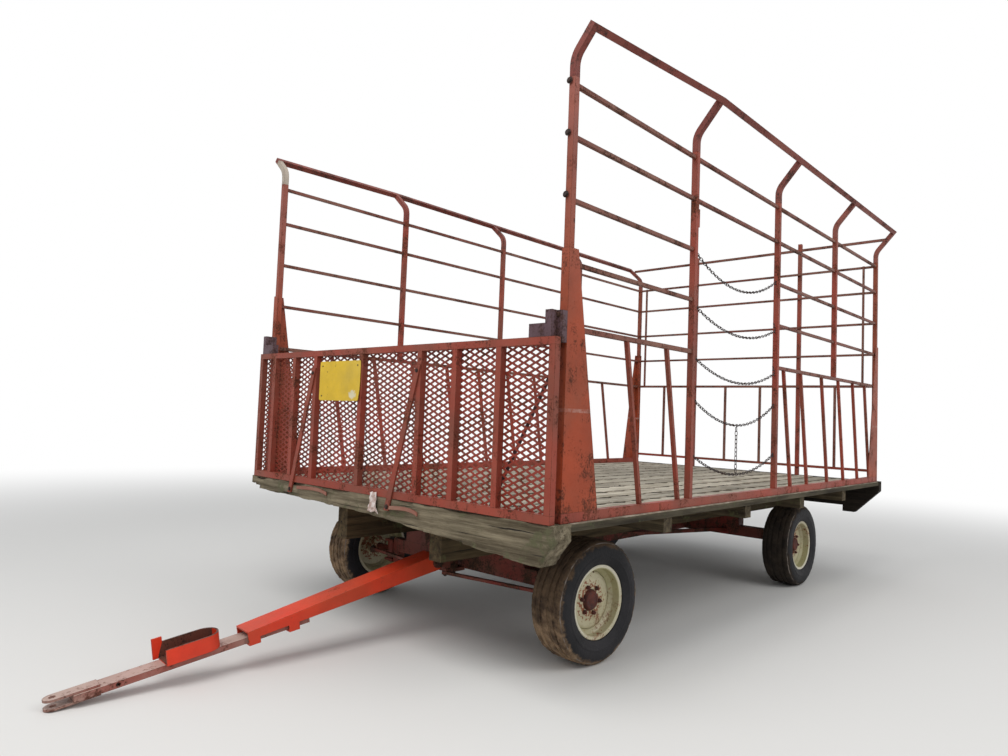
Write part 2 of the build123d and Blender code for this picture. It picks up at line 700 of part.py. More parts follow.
def front_axle():
    """The front axle: a square beam with a fork and a kingpin at each end, and the yoke's bracket."""
    half = AXLE_SIZE / 2
    x = FRONT_WHEEL_X
    web_out = KINGPIN_Y - BARREL_RADIUS - WEB_CLEAR
    ear_out = KINGPIN_Y + EAR_WIDE / 2
    low_ear = (BARREL_LOW - EAR_GAP - EAR_THICK, BARREL_LOW - EAR_GAP)
    high_ear = (BARREL_HIGH + EAR_GAP, BARREL_HIGH + EAR_GAP + EAR_THICK)
    axle = box((x - half, x + half), (-web_out + FORK_DEEP, web_out - FORK_DEEP), (AXLE_BOTTOM, AXLE_TOP))
    for side in SIDES:
        fork = box((x - WEB_HALF, x + WEB_HALF), (web_out - FORK_DEEP, web_out), (low_ear[0], AXLE_TOP))
        for ear in (low_ear, high_ear):
            fork += box((x - EAR_WIDE / 2, x + EAR_WIDE / 2), (web_out, ear_out), ear)
        fork += upright_pin(x, KINGPIN_Y, low_ear[0], high_ear[1], KINGPIN_RADIUS)
        axle += mirrored(fork, side)
    pivot = x + YOKE_AHEAD
    lowest = AXLE_BOTTOM - BRACKET_OUT
    highest = AXLE_TOP + BRACKET_OUT
    for ear in ((lowest, AXLE_BOTTOM + BRACKET_IN), (AXLE_TOP - BRACKET_IN, highest)):
        axle += box((x + half - BRACKET_IN, pivot), (-YOKE_BARREL_RADIUS, YOKE_BARREL_RADIUS), ear)
        axle += upright_pin(pivot, 0.0, ear[0], ear[1], YOKE_BARREL_RADIUS)
    axle += upright_pin(pivot, 0.0, lowest, highest, YOKE_PIN_RADIUS)
    bolster = box((x - half, x + BOLSTER_WIDE / 2), (-BOLSTER_HALF, BOLSTER_HALF), (AXLE_TOP, SILL_BOTTOM))
    return [axle - bolster]


def spindle(y_start):
    """The round stub that carries a wheel, on the wagon's left."""
    y_end = TRACK_HALF + DISC_FACE - DISC_WALL - SPINDLE_END_GAP
    return cross_pin(0.0, TYRE_RADIUS, y_start, y_end, SPINDLE_RADIUS)


def rear_axle():
    """The rear axle: a square beam with end plates and fixed spindles."""
    half = AXLE_SIZE / 2
    axle = box((-half, half), (-REAR_AXLE_HALF, REAR_AXLE_HALF), (AXLE_BOTTOM, AXLE_TOP))
    for side in SIDES:
        across = (REAR_AXLE_HALF - AXLE_END_PLATE, REAR_AXLE_HALF)
        end = box((-half, half), across, (TYRE_RADIUS - half, AXLE_TOP))
        axle += mirrored(end + spindle(REAR_AXLE_HALF - AXLE_END_PLATE / 2), side)
    return [Pos(REAR_WHEEL_X, 0, 0) * axle]


def reach_pole():
    """The long pole between the axles."""
    half = REACH_SIZE / 2
    middle = (AXLE_BOTTOM + AXLE_TOP) / 2
    return [box((REAR_WHEEL_X + AXLE_SIZE / 2, FRONT_WHEEL_X - AXLE_SIZE / 2), (-half, half),
                (middle - half, middle + half))]


def hounds():
    """Diagonal stays from the axles to the reach."""
    stays = []
    middle = (AXLE_BOTTOM + AXLE_TOP) / 2
    for station, towards, start, length in HOUNDS:
        face = station + towards * AXLE_SIZE / 2
        side_y = REACH_SIZE / 2
        slant = HOUND_WIDE * length / start
        corners = [(face, start - HOUND_WIDE / 2), (face, start + HOUND_WIDE / 2),
                   (face + towards * (length + slant), side_y), (face + towards * length, side_y)]
        stay = plate_xy(corners, middle - HOUND_TALL / 2, middle + HOUND_TALL / 2)
        stays += [mirrored(stay, side) for side in SIDES]
    return stays


ROD_LOW = ARM_TOP + ROD_PLAY
ROD_HIGH = ROD_LOW + ROD_THICK
YOKE_PLATE_LOW = ROD_HIGH + ROD_PLAY
YOKE_X = FRONT_WHEEL_X + YOKE_AHEAD


def strap(start, end, width, z_low, z_high):
    """A flat bar with round ends between two points in plan."""
    length = (end[0] - start[0], end[1] - start[1])
    turn = degrees(atan2(length[1], length[0]))
    reach = (length[0] ** 2 + length[1] ** 2) ** 0.5
    bar = box((0.0, reach), (-width / 2, width / 2), (z_low, z_high))
    return Pos(start[0], start[1], 0) * Rot(0, 0, turn) * bar


def knuckle(side):
    """A steering knuckle: barrel on the kingpin, spindle and steering arm."""
    x = FRONT_WHEEL_X
    arm_end = (x + ARM_AHEAD, KINGPIN_Y + ARM_ASIDE)
    body = upright_pin(x, KINGPIN_Y, BARREL_LOW, BARREL_HIGH, BARREL_RADIUS)
    body += Pos(x, 0, 0) * spindle(KINGPIN_Y)
    body += strap((x, KINGPIN_Y), arm_end, ARM_WIDE, ARM_TOP - ARM_THICK, ARM_TOP)
    body += upright_pin(*arm_end, ARM_TOP - ARM_THICK, ARM_TOP, ARM_WIDE / 2)
    pin_radius = PIN_RADIUS - OPEN_PIVOT_CLEARANCE
    body += upright_pin(*arm_end, ARM_TOP - ARM_THICK, ROD_HIGH + PIN_PROUD, pin_radius)
    body -= upright_pin(x, KINGPIN_Y, BARREL_LOW, BARREL_HIGH, KINGPIN_RADIUS + RUNNING_FIT)
    return [turned(mirrored(body, side), x, side * KINGPIN_Y, STEER_PARKED)]


def tie_rod(side):
    """A flat rod from the yoke's ear to the knuckle's arm. It stays parallel to itself as the yoke turns."""
    ear = (YOKE_X + ARM_AHEAD, ARM_ASIDE)
    arm_end = (FRONT_WHEEL_X + ARM_AHEAD, KINGPIN_Y + ARM_ASIDE)
    rod = strap(ear, arm_end, ROD_WIDE, ROD_LOW, ROD_HIGH)
    for place, radius in ((ear, PIN_RADIUS + RUNNING_FIT), (arm_end, PIN_RADIUS)):
        rod += upright_pin(*place, ROD_LOW, ROD_HIGH, ROD_EYE_RADIUS)
    for place, radius in ((ear, PIN_RADIUS + RUNNING_FIT), (arm_end, PIN_RADIUS)):
        rod -= upright_pin(*place, ROD_LOW, ROD_HIGH, radius)
    angle = radians(STEER_PARKED)
    aside = side * ARM_ASIDE
    shift_x = ARM_AHEAD * cos(angle) - aside * sin(angle) - ARM_AHEAD
    shift_y = ARM_AHEAD * sin(angle) + aside * cos(angle) - aside
    return [Pos(shift_x, shift_y, 0) * mirrored(rod, side)]


HINGE_X = YOKE_X + HINGE_AHEAD


def steering_yoke():
    """The yoke that swings with the tongue: barrel, body, tie rod plate and a head with two hinge ears."""
    half = YOKE_WIDE / 2
    low = AXLE_BOTTOM + BRACKET_IN + EAR_GAP
    high = AXLE_TOP - BRACKET_IN - EAR_GAP
    body_low = YOKE_PLATE_LOW + ROD_PLATE_THICK
    ear_inner = TONGUE_WIDE / 2 + HINGE_GAP
    ear_outer = ear_inner + HINGE_EAR
    head_end = HINGE_X - TONGUE_TALL_REAR / 2 - YOKE_HEAD_CLEAR
    plate_x = YOKE_X + ARM_AHEAD
    plate_reach = ARM_ASIDE + ROD_PLATE_HALF
    yoke = upright_pin(YOKE_X, 0.0, low, high, YOKE_BARREL_RADIUS)
    yoke += box((YOKE_X + HINGE_PIN_RADIUS, head_end), (-half, half), (body_low, high))
    yoke += box((head_end - YOKE_HEAD, head_end), (-ear_outer, ear_outer), (body_low, high))
    yoke += box((plate_x - ROD_PLATE_HALF, head_end), (-plate_reach, plate_reach), (YOKE_PLATE_LOW, body_low))
    for side in SIDES:
        ear = box((head_end - YOKE_HEAD, HINGE_X), (ear_inner, ear_outer),
                  (HINGE_Z - HINGE_EAR_RADIUS, HINGE_Z + HINGE_EAR_RADIUS))
        ear += cross_pin(HINGE_X, HINGE_Z, ear_inner, ear_outer, HINGE_EAR_RADIUS)
        yoke += mirrored(ear, side)
        yoke += upright_pin(plate_x, side * ARM_ASIDE, ROD_LOW - PIN_PROUD, body_low, PIN_RADIUS)
    yoke += cross_pin(HINGE_X, HINGE_Z, -ear_outer - HINGE_EAR, ear_outer + HINGE_EAR, HINGE_PIN_RADIUS)
    yoke -= upright_pin(YOKE_X, 0.0, low, high, YOKE_PIN_RADIUS + RUNNING_FIT)
    return [turned(yoke, YOKE_X, 0.0, STEER_PARKED)]


TONGUE_END_X = HINGE_X + TONGUE_LENGTH * cos(radians(TONGUE_SLOPE))
POLE_END = (TIP_AHEAD - (TONGUE_END_X - FRONT_WHEEL_X)) / cos(radians(POLE_SLOPE))
# The tip's lower plate rests on the ground. That sets the height of the pole's underside at the tongue's end.
POLE_START_Z = POLE_END * sin(radians(POLE_SLOPE)) + CLEVIS_PLATE * cos(radians(POLE_SLOPE))


def along_tongue(shape):
    """Places a piece drawn along +X from the hinge onto the sloping tongue."""
    return Pos(HINGE_X, 0, HINGE_Z) * Rot(0, TONGUE_SLOPE, 0) * shape


def along_pole(shape):
    """Places a piece drawn along +X from the tongue's front end, above the pole's underside, on the pole."""
    return Pos(TONGUE_END_X, 0, POLE_START_Z) * Rot(0, POLE_SLOPE, 0) * shape


def steered(shape):
    """Turns a piece of the tongue to the parked steering angle."""
    return turned(shape, YOKE_X, 0.0, STEER_PARKED)


def pole_guides():
    """Two straps below the channel that carry the sliding pole."""
    half = TONGUE_WIDE / 2
    top = -GUIDE_CLEARANCE
    guides = []
    for span in GUIDES:
        guides.append(box(span, (-half, half), (top - TONGUE_PLATE, top)))
        guides += [mirrored(box(span, (half - TONGUE_PLATE, half), (top - TONGUE_PLATE, GUIDE_RISE)), side)
                   for side in SIDES]
    return guides


def tongue():
    """The tongue's rear part: a wide channel, open below, that tapers forward from its round hinge end."""
    rear = TONGUE_TALL_REAR / 2
    front = TONGUE_TALL_FRONT / 2
    half = TONGUE_WIDE / 2
    body = plate_xz([(0.0, -rear), (0.0, rear), (TONGUE_LENGTH, front), (TONGUE_LENGTH, -front)], -half, half)
    body += cross_pin(0.0, 0.0, -half, half, rear)
    hollow = plate_xz([(rear, -2 * rear), (rear, rear - TONGUE_PLATE - (rear - front) * rear / TONGUE_LENGTH),
                       (TONGUE_LENGTH, front - TONGUE_PLATE), (TONGUE_LENGTH, -2 * rear)],
                      -half + TONGUE_PLATE, half - TONGUE_PLATE)
    body -= [hollow, cross_pin(0.0, 0.0, -half, half, HINGE_PIN_RADIUS + RUNNING_FIT)]
    return [steered(along_tongue(body) + [along_pole(guide) for guide in pole_guides()])]


def strap_outline(half, start, stop, z_low, z_high):
    """A block with a half-round rear end, from the given start to the given stop along the pole."""
    middle = (z_low + z_high) / 2
    rounded = Pos(start + half, 0, middle) * Cylinder(half, z_high - z_low)
    return rounded + box((start + half, stop), (-half, half), (z_low, z_high))


def pole_strap():
    """A flat bar bent round in plan to a U that opens forward, on a floor plate that lies on the pole."""
    half = TONGUE_WIDE / 2
    stop = STRAP_START + STRAP_LENGTH
    top = POLE_TALL + STRAP_TALL
    strap_bar = strap_outline(half, STRAP_START, stop, POLE_TALL, top)
    strap_bar -= strap_outline(half - STRAP_PLATE, STRAP_START + STRAP_PLATE, stop + PAST_FACE,
                               POLE_TALL + STRAP_FLOOR, top + PAST_FACE)
    tab_across = (-half, -half + STRAP_PLATE)
    strap_bar += box((stop - STRAP_TAB, stop + STRAP_TAB), tab_across, (POLE_TALL, top + STRAP_TAB))
    return [steered(along_pole(strap_bar))]


def front_pole():
    """The pole that slides below the tongue, with the hitch clevis at its tip."""
    half = POLE_WIDE / 2
    tip = CLEVIS_WIDE / 2
    pole = box((POLE_REAR, POLE_END - CLEVIS_LENGTH), (-half, half), (0.0, POLE_TALL))
    pole -= cross_pin(POLE_END - SIDE_HOLE_FROM_TIP, POLE_TALL / 2, -half, half, SIDE_HOLE_RADIUS)
    for plate in ((-CLEVIS_PLATE, 0.0), (POLE_TALL, POLE_TALL + CLEVIS_PLATE)):
        pole += box((POLE_END - 2 * CLEVIS_LENGTH, POLE_END - tip), (-tip, tip), plate)
        pole += upright_pin(POLE_END - tip, 0.0, plate[0], plate[1], tip)
    pole -= upright_pin(POLE_END - tip, 0.0, -CLEVIS_PLATE, POLE_TALL + CLEVIS_PLATE, HITCH_RADIUS)
    return [steered(along_pole(pole))]


def wheel_place(shape, x, side, steer):
    """Puts a wheel, drawn on the middle plane with its outer face towards +Y, at its station."""
    at_left = Pos(x, TRACK_HALF, TYRE_RADIUS) * shape
    placed = mirrored(at_left, side)
    return turned(placed, x, side * KINGPIN_Y, steer) if steer else placed


def revolved(points):
    """A turned piece from its radius and width corners, on an axis across the wagon."""
    outline = make_face(Polyline(*[(radius, along) for radius, along in points], close=True))
    return revolve(Plane.XY * outline, Axis.Y)


def rim():
    """Rim, dished disc and hub in one, with the spindle's blind bore."""
    half = RIM_WIDE / 2
    edge = half - RIM_WALL
    seat_edge = edge - BEAD_SLOPE
    inner_seat = BEAD_RADIUS - RIM_WALL
    inner_well = WELL_RADIUS - RIM_WALL
    disc_back = DISC_FACE - DISC_WALL
    disc_edge = inner_well - DISC_CURL
    hub_face = DISC_FACE + HUB_PROUD
    bore = SPINDLE_RADIUS + RUNNING_FIT
    slope_end = WELL_HALF + WELL_SLOPE
    outer_side = [(RIM_RADIUS, half), (RIM_RADIUS, edge), (BEAD_RADIUS, seat_edge), (BEAD_RADIUS, slope_end),
                  (WELL_RADIUS, WELL_HALF)]
    inner_side = [(radius, -along) for radius, along in reversed(outer_side)]
    inner_side += [(inner_seat, -half), (inner_seat, -slope_end - WELL_WALL_SHIFT),
                   (inner_well, -WELL_HALF - WELL_WALL_SHIFT)]
    disc = [(inner_well, disc_back - DISC_CURL), (disc_edge, disc_back), (HUB_RADIUS, disc_back),
            (HUB_RADIUS, HUB_BACK), (bore, HUB_BACK), (bore, disc_back), (0.0, disc_back), (0.0, hub_face),
            (HUB_RADIUS - HUB_BEVEL, hub_face), (HUB_RADIUS, hub_face - HUB_BEVEL), (HUB_RADIUS, DISC_FACE),
            (disc_edge, DISC_FACE), (inner_well, DISC_FACE - DISC_WALL)]
    back = [(inner_well, WELL_HALF + WELL_WALL_SHIFT), (inner_seat, slope_end + WELL_WALL_SHIFT),
            (inner_seat, half)]
    return revolved(outer_side + inner_side + disc + back)


def tyre():
    """The tyre, a turned carcass whose beads sit on the rim."""
    half = TYRE_WIDE / 2
    rim_half = RIM_WIDE / 2
    seat = rim_half - RIM_WALL - 2 * BEAD_SLOPE
    bead = BEAD_RADIUS + BEAD_GAP
    carcass = [(bead, seat), (RIM_RADIUS + TYRE_OVER_FLANGE, rim_half - RIM_WALL),
               (RIM_RADIUS + FLANGE_ROLL_UP, rim_half + FLANGE_ROLL_OUT)]
    carcass += [(TYRE_RADIUS - below, half - inward) for below, inward in TYRE_WALL]
    inside = [(bead, -seat + BEAD_THICK)]
    inside += [(TYRE_RADIUS - below, -half + inward) for below, inward in TYRE_LINING]
    other = [(radius, -along) for radius, along in reversed(carcass)]
    inside += [(radius, -along) for radius, along in reversed(inside)]
    return revolved(carcass + other + inside)


WHEELS = (
    # name, station, side, steering angle
    ("front_left", FRONT_WHEEL_X, 1, STEER_PARKED),
    ("front_right", FRONT_WHEEL_X, -1, STEER_PARKED),
    ("rear_left", REAR_WHEEL_X, 1, 0.0),
    ("rear_right", REAR_WHEEL_X, -1, 0.0),
)


def build():
    """Every node of the wagon, as a list of solids by node name."""
    nodes = {
        "deck_planks": deck_planks(),
        "cross_joists": cross_joists(),
        "sills": sills(),
        "front_header": front_header(),
        "rear_header": rear_header(),
        "rack_bottom_rails": rack_bottom_rails(),
        "side_posts": side_posts(),
        "side_rails": side_rails(),
        "side_bars": side_bars(),
        "top_rails": top_rails(),
        "post_tops": post_tops(),
        "rear_rails": rear_rails(),
        "rear_posts": rear_posts(),
        "rear_bars": rear_bars(),
        "gate_rails": gate_rails(),
        "gate_bars": gate_bars(),
        "gate_mesh": gate_mesh(),
        "gate_braces": gate_braces(),
        "gate_rod": gate_rod(),
        "gate_latches": gate_latches(),
        "sign_plate": sign_plate(),
        "door_chains": door_chains(),
        "bolsters": bolsters(),
        "bolster_stakes": bolster_stakes(),
        "front_axle": front_axle(),
        "rear_axle": rear_axle(),
        "reach_pole": reach_pole(),
        "hounds": hounds(),
        "steering_yoke": steering_yoke(),
        "tongue": tongue(),
        "pole_strap": pole_strap(),
        "front_pole": front_pole(),
    }
    for end_name, end in (("front", 1), ("rear", -1)):
        for side_name, side in (("left", 1), ("right", -1)):
            nodes[f"corner_post_{end_name}_{side_name}"] = corner_post(end, side)
    for side_name, side in (("left", 1), ("right", -1)):
        nodes[f"knuckle_{side_name}"] = knuckle(side)
        nodes[f"tie_rod_{side_name}"] = tie_rod(side)
    for name, x, side, steer in WHEELS:
        nodes[f"rim_{name}"] = [wheel_place(rim(), x, side, steer)]
        nodes[f"tyre_{name}"] = [wheel_place(tyre(), x, side, steer)]
    return nodes


def solids_of(pieces):
    """The plain solids of a node's pieces."""
    return [solid for piece in pieces for solid in piece.solids()]


NODES = {name: solids_of(pieces) for name, pieces in build().items()}
BOUNDS = [solid.bounding_box() for solids in NODES.values() for solid in solids]
FRONT_END = max(bound.max.X for bound in BOUNDS)
REAR_END = min(bound.min.X for bound in BOUNDS)
LEFT_EDGE = max(bound.max.Y for bound in BOUNDS)
RIGHT_EDGE = min(bound.min.Y for bound in BOUNDS)
LOWEST = min(bound.min.Z for bound in BOUNDS)
TO_ORIGIN = Pos(-(FRONT_END + REAR_END) / 2, -(LEFT_EDGE + RIGHT_EDGE) / 2, -LOWEST)

os.makedirs("parts", exist_ok=True)
for name, solids in NODES.items():
    placed = [TO_ORIGIN * solid for solid in solids]
    export_step(Compound(children=placed), f"parts/{name}.step")
print("lowest point before the move", round(LOWEST, 2))
print("front end", round(FRONT_END, 1), "rear end", round(REAR_END, 1))
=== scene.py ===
import json
import math
import random
from contextlib import contextmanager
import bpy
from mathutils import Matrix, Vector, noise


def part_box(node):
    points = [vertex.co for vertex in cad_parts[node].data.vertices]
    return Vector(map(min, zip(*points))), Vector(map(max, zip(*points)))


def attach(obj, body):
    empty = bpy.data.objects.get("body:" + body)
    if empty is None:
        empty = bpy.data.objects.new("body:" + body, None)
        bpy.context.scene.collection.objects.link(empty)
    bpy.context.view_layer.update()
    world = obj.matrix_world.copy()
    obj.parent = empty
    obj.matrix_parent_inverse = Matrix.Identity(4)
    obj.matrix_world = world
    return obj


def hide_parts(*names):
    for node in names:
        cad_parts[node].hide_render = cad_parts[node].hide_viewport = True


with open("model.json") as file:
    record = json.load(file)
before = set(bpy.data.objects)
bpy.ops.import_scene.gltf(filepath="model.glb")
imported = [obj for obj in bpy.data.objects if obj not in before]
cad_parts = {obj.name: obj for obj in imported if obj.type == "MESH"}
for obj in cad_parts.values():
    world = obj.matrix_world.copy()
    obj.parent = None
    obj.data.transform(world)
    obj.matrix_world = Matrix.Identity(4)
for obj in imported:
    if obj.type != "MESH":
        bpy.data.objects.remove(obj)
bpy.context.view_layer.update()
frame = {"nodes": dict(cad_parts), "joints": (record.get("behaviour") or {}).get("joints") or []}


# The place where the wagon stands: a plain pale floor that runs out into a white surround, soft lamps high
# on both sides, and the camera low in front of the left corner, tipped a little as it was held by hand.

def seen(red, green, blue):
    """A colour as it is seen, 0 to 255, made into the light values that a shader works with."""
    light = [((c / 255 + 0.055) / 1.055) ** 2.4 if c > 10 else c / 3295 for c in (red, green, blue)]
    return (*light, 1.0)


def fill(tree, sockets, values):
    """Fills sockets: a value is a number, a colour, or another node's output."""
    for name, value in dict(values).items():
        if isinstance(value, bpy.types.NodeSocket):
            tree.links.new(value, sockets[name])
        else:
            sockets[name].default_value = value


def put(tree, kind, values=(), **settings):
    """Adds a shader node with its settings and its inputs' values."""
    node = tree.nodes.new(kind)
    for name, value in settings.items():
        setattr(node, name, value)
    fill(tree, node.inputs, values)
    return node


def maths(tree, operation, *values):
    """What a maths node makes of its values."""
    return put(tree, "ShaderNodeMath", enumerate(values), operation=operation).outputs[0]


def vector_maths(tree, operation, *values):
    """What a vector maths node makes of its values: a number if it is a length or a dot product."""
    node = put(tree, "ShaderNodeVectorMath", enumerate(values), operation=operation)
    return node.outputs["Value" if operation in ('LENGTH', 'DOT_PRODUCT') else "Vector"]


def spread(tree, value, low, high, even=False, to=(0.0, 1.0)):
    """A value spread so that low to high fills the range in to, eased at both ends unless it is even."""
    values = {"Value": value, "From Min": low, "From Max": high, "To Min": to[0], "To Max": to[1]}
    node = put(tree, "ShaderNodeMapRange", values, interpolation_type='LINEAR' if even else 'SMOOTHSTEP')
    return node.outputs["Result"]


def seen_direct(tree):
    """1 for what the camera sees, straight on, in a gloss or through glass."""
    ray = put(tree, "ShaderNodeLightPath").outputs
    mirrored = maths(tree, 'MAXIMUM', ray["Is Camera Ray"], ray["Is Glossy Ray"])
    return maths(tree, 'MAXIMUM', mirrored, ray["Is Transmission Ray"])


def object_place(tree):
    """Where a point lies on the wagon."""
    return put(tree, "ShaderNodeTexCoord").outputs["Object"]


def blank_material(name):
    """A new material, ready for its own nodes."""
    material = bpy.data.materials.new(name)
    material.use_nodes = True
    return material, material.node_tree


def coat(tree, color, roughness, gloss=0.5, **bump):
    """Gives a material its colour, roughness and gloss, and a bump by its height, distance and strength."""
    shader = tree.nodes["Principled BSDF"]
    fill(tree, shader.inputs, {"Base Color": color, "Roughness": roughness, "Specular IOR Level": gloss})
    if bump:
        tree.links.new(put(tree, "ShaderNodeBump", bump).outputs["Normal"], shader.inputs["Normal"])


def added(name, primitive, scale=(1, 1, 1), **settings):
    """Adds a simple shape by its operator, with its place, turn and scale put into its mesh."""
    bpy.ops.object.select_all(action='DESELECT')
    primitive(**settings)
    piece = bpy.context.object
    piece.name = name
    piece.scale = scale
    bpy.ops.object.transform_apply(location=True, rotation=True, scale=True)
    return piece


CAMERA_TURN = 0.7510
CAMERA_PITCH = 0.0542
CAMERA_ROLL = 0.0388
scene = bpy.context.scene
camera_forward = Vector((-math.cos(CAMERA_TURN) * math.cos(CAMERA_PITCH),
                         -math.sin(CAMERA_TURN) * math.cos(CAMERA_PITCH), math.sin(CAMERA_PITCH)))
camera_level = camera_forward.cross(Vector((0, 0, 1))).normalized()
camera_upright = camera_level.cross(camera_forward)
camera_right = math.cos(CAMERA_ROLL) * camera_level + math.sin(CAMERA_ROLL) * camera_upright
camera_up = math.cos(CAMERA_ROLL) * camera_upright - math.sin(CAMERA_ROLL) * camera_level
camera_data = bpy.data.cameras.new("camera")
camera_data.sensor_fit = 'HORIZONTAL'
camera_data.sensor_width = 36.0
camera_data.lens = 25.35
camera = bpy.data.objects.new("camera", camera_data)
camera.matrix_world = Matrix((camera_right, camera_up, -camera_forward)).transposed().to_4x4()
camera.location = (4.3232, 3.4382, 1.3642)
scene.collection.objects.link(camera)
scene.camera = camera
scene.view_settings.view_transform = 'Standard'

floor = added("floor", bpy.ops.mesh.primitive_circle_add, vertices=96, radius=45.0, fill_type='NGON',
              location=(0, 0, -0.001))
floor_material, tree = blank_material("floor")
coat(tree, seen(224, 222, 218), 0.9, 0.1)
fade = spread(tree, vector_maths(tree, 'LENGTH', object_place(tree)), 4.6, 13.0)
white = put(tree, "ShaderNodeEmission", {"Color": (1, 1, 1, 1), "Strength": 1.0})
share = maths(tree, 'MULTIPLY', fade, seen_direct(tree))
blend = put(tree, "ShaderNodeMixShader", {"Fac": share, 1: tree.nodes["Principled BSDF"].outputs[0],
                                          2: white.outputs[0]})
tree.links.new(blend.outputs[0], tree.nodes["Material Output"].inputs["Surface"])
floor.data.materials.append(floor_material)

world = bpy.data.worlds.new("surround")
scene.world = world
world.use_nodes = True
tree = world.node_tree
soft = tree.nodes["Background"]
fill(tree, soft.inputs, {"Color": (0.93, 0.96, 1.0, 1.0), "Strength": 0.62})
plain = put(tree, "ShaderNodeBackground", {"Color": (1, 1, 1, 1), "Strength": 1.0})
blend = put(tree, "ShaderNodeMixShader", {"Fac": seen_direct(tree), 1: soft.outputs[0], 2: plain.outputs[0]})
tree.links.new(blend.outputs[0], tree.nodes["World Output"].inputs["Surface"])

LAMP_SIZE = 5.0
for name, spot, aim, power in (
    ("lamp_front", (5.5, 1.0, 7.5), (0.5, 0, 0.8), 330.0),
    ("lamp_left", (-1.0, 7.5, 6.5), (-0.5, 0, 1.2), 210.0),
):
    lamp_data = bpy.data.lights.new(name, 'AREA')
    lamp_data.shape = 'SQUARE'
    lamp_data.size = LAMP_SIZE
    lamp_data.energy = power
    lamp = bpy.data.objects.new(name, lamp_data)
    lamp.location = spot
    lamp.rotation_euler = (Vector(aim) - Vector(spot)).to_track_quat('-Z', 'Y').to_euler()
    scene.collection.objects.link(lamp)


# The running gear: two square axles, the round reach between them, diagonal hounds, and the beams that carry
# the deck. All of it is welded steel in old red paint, browned by road dirt and rust.

def effect_group(name, colors, numbers, results):
    """An empty node group for one effect, given a place, colours and numbers, and making a colour and more."""
    tree = bpy.data.node_groups.new(name, "ShaderNodeTree")
    for direction, kind, sockets in (
        ('INPUT', "Vector", ("Vector",)), ('INPUT', "Color", colors), ('INPUT', "Float", numbers),
        ('OUTPUT', "Color", ("Color",)), ('OUTPUT', "Float", results),
    ):
        for socket in sockets:
            tree.interface.new_socket(name=socket, in_out=direction, socket_type="NodeSocket" + kind)
    return tree, tree.nodes.new("NodeGroupInput").outputs, tree.nodes.new("NodeGroupOutput").inputs


def effect(tree, name, values):
    """Places an effect's node group in a material, with its own values."""
    return put(tree, "ShaderNodeGroup", node_tree=bpy.data.node_groups[name], name=name, values=values)


def noise_of(tree, vector, scale, detail=5.0, roughness=0.6, low=0.0, high=1.0):
    """A noise pattern, spread so that low to high fills 0 to 1."""
    pattern = put(tree, "ShaderNodeTexNoise", {"Vector": vector, "Scale": scale, "Detail": detail,
                                               "Roughness": roughness})
    return spread(tree, pattern.outputs["Fac"], low, high)


def stretched(tree, vector, scale):
    """The same pattern space, drawn out along an axis by unequal scales."""
    return put(tree, "ShaderNodeMapping", {"Vector": vector, "Scale": scale}).outputs["Vector"]


def mixed(tree, share, first, second, blend_type='MIX'):
    """Two colours mixed by a mask."""
    return put(tree, "ShaderNodeMix", {0: share, 6: first, 7: second}, data_type='RGBA',
               blend_type=blend_type).outputs[2]


def shaded(tree, share, color, mask, dark, light):
    """A colour made darker and lighter by a mask, in so large a share."""
    return mixed(tree, share, color, mixed(tree, mask, (*dark, 1), (*light, 1)), 'MULTIPLY')


def sum_of(tree, *parts):
    """Masks added up, each times its own weight."""
    total = 0.0
    for value, weight in parts:
        total = maths(tree, 'MULTIPLY_ADD', value, weight, total)
    return total


# Flaked paint: fades in wide patches, rusts through in spots and runs, and wears off along the edges first.
tree, given, made = effect_group("flaked_paint", ("Paint", "Faded", "Rust", "Dark rust"),
                                 ("Rusting", "Edge wear"), ("Roughness", "Height"))
place = given["Vector"]
wide = noise_of(tree, place, 1.7, 5.0, 0.6, 0.36, 0.66)
patches = noise_of(tree, place, 6.5, 8.0, 0.66)
runs = noise_of(tree, stretched(tree, place, (24, 24, 1.8)), 1.0, 4.0)
fine = noise_of(tree, place, 85.0, 5.0, 0.7, 0.3, 0.7)
rounded = put(tree, "ShaderNodeBevel", {"Radius": 0.004}, samples=4).outputs[0]
along = vector_maths(tree, 'DOT_PRODUCT', rounded, put(tree, "ShaderNodeNewGeometry").outputs["Normal"])
edge = maths(tree, 'MULTIPLY', spread(tree, along, 0.995, 0.80, even=True), given["Edge wear"])
rust = spread(tree, sum_of(tree, (patches, 0.60), (runs, 0.18), (fine, 0.14), (edge, 0.45),
                           (given["Rusting"], 0.30)), 0.575, 0.72)
paint = mixed(tree, wide, given["Paint"], given["Faded"])
color = mixed(tree, rust, paint, mixed(tree, fine, given["Rust"], given["Dark rust"]))
grime = noise_of(tree, place, 2.9, 6.0, 0.65, 0.25, 0.75)
fill(tree, made, {
    "Color": shaded(tree, 0.55, color, grime, (0.55, 0.50, 0.46), (1.12, 1.12, 1.12)),
    "Roughness": sum_of(tree, (rust, 0.34), (fine, 0.10), (1.0, 0.46)),
    "Height": sum_of(tree, (fine, 0.25), (patches, 0.30), (rust, -0.35)),
})


def painted_steel(name, paint, faded, rust, dark_rust, rusting, edge_wear, bump=0.0012, gloss=0.25):
    """Old paint on steel, in the given colours and state."""
    material, tree = blank_material(name)
    flakes = effect(tree, "flaked_paint", {
        "Vector": object_place(tree), "Paint": seen(*paint), "Faded": seen(*faded), "Rust": seen(*rust),
        "Dark rust": seen(*dark_rust), "Rusting": rusting, "Edge wear": edge_wear}).outputs
    soft_edges = put(tree, "ShaderNodeBevel", {"Radius": 0.003}, samples=4).outputs["Normal"]
    coat(tree, flakes["Color"], flakes["Roughness"], gloss,
         Height=flakes["Height"], Distance=bump, Strength=0.7, Normal=soft_edges)
    return material


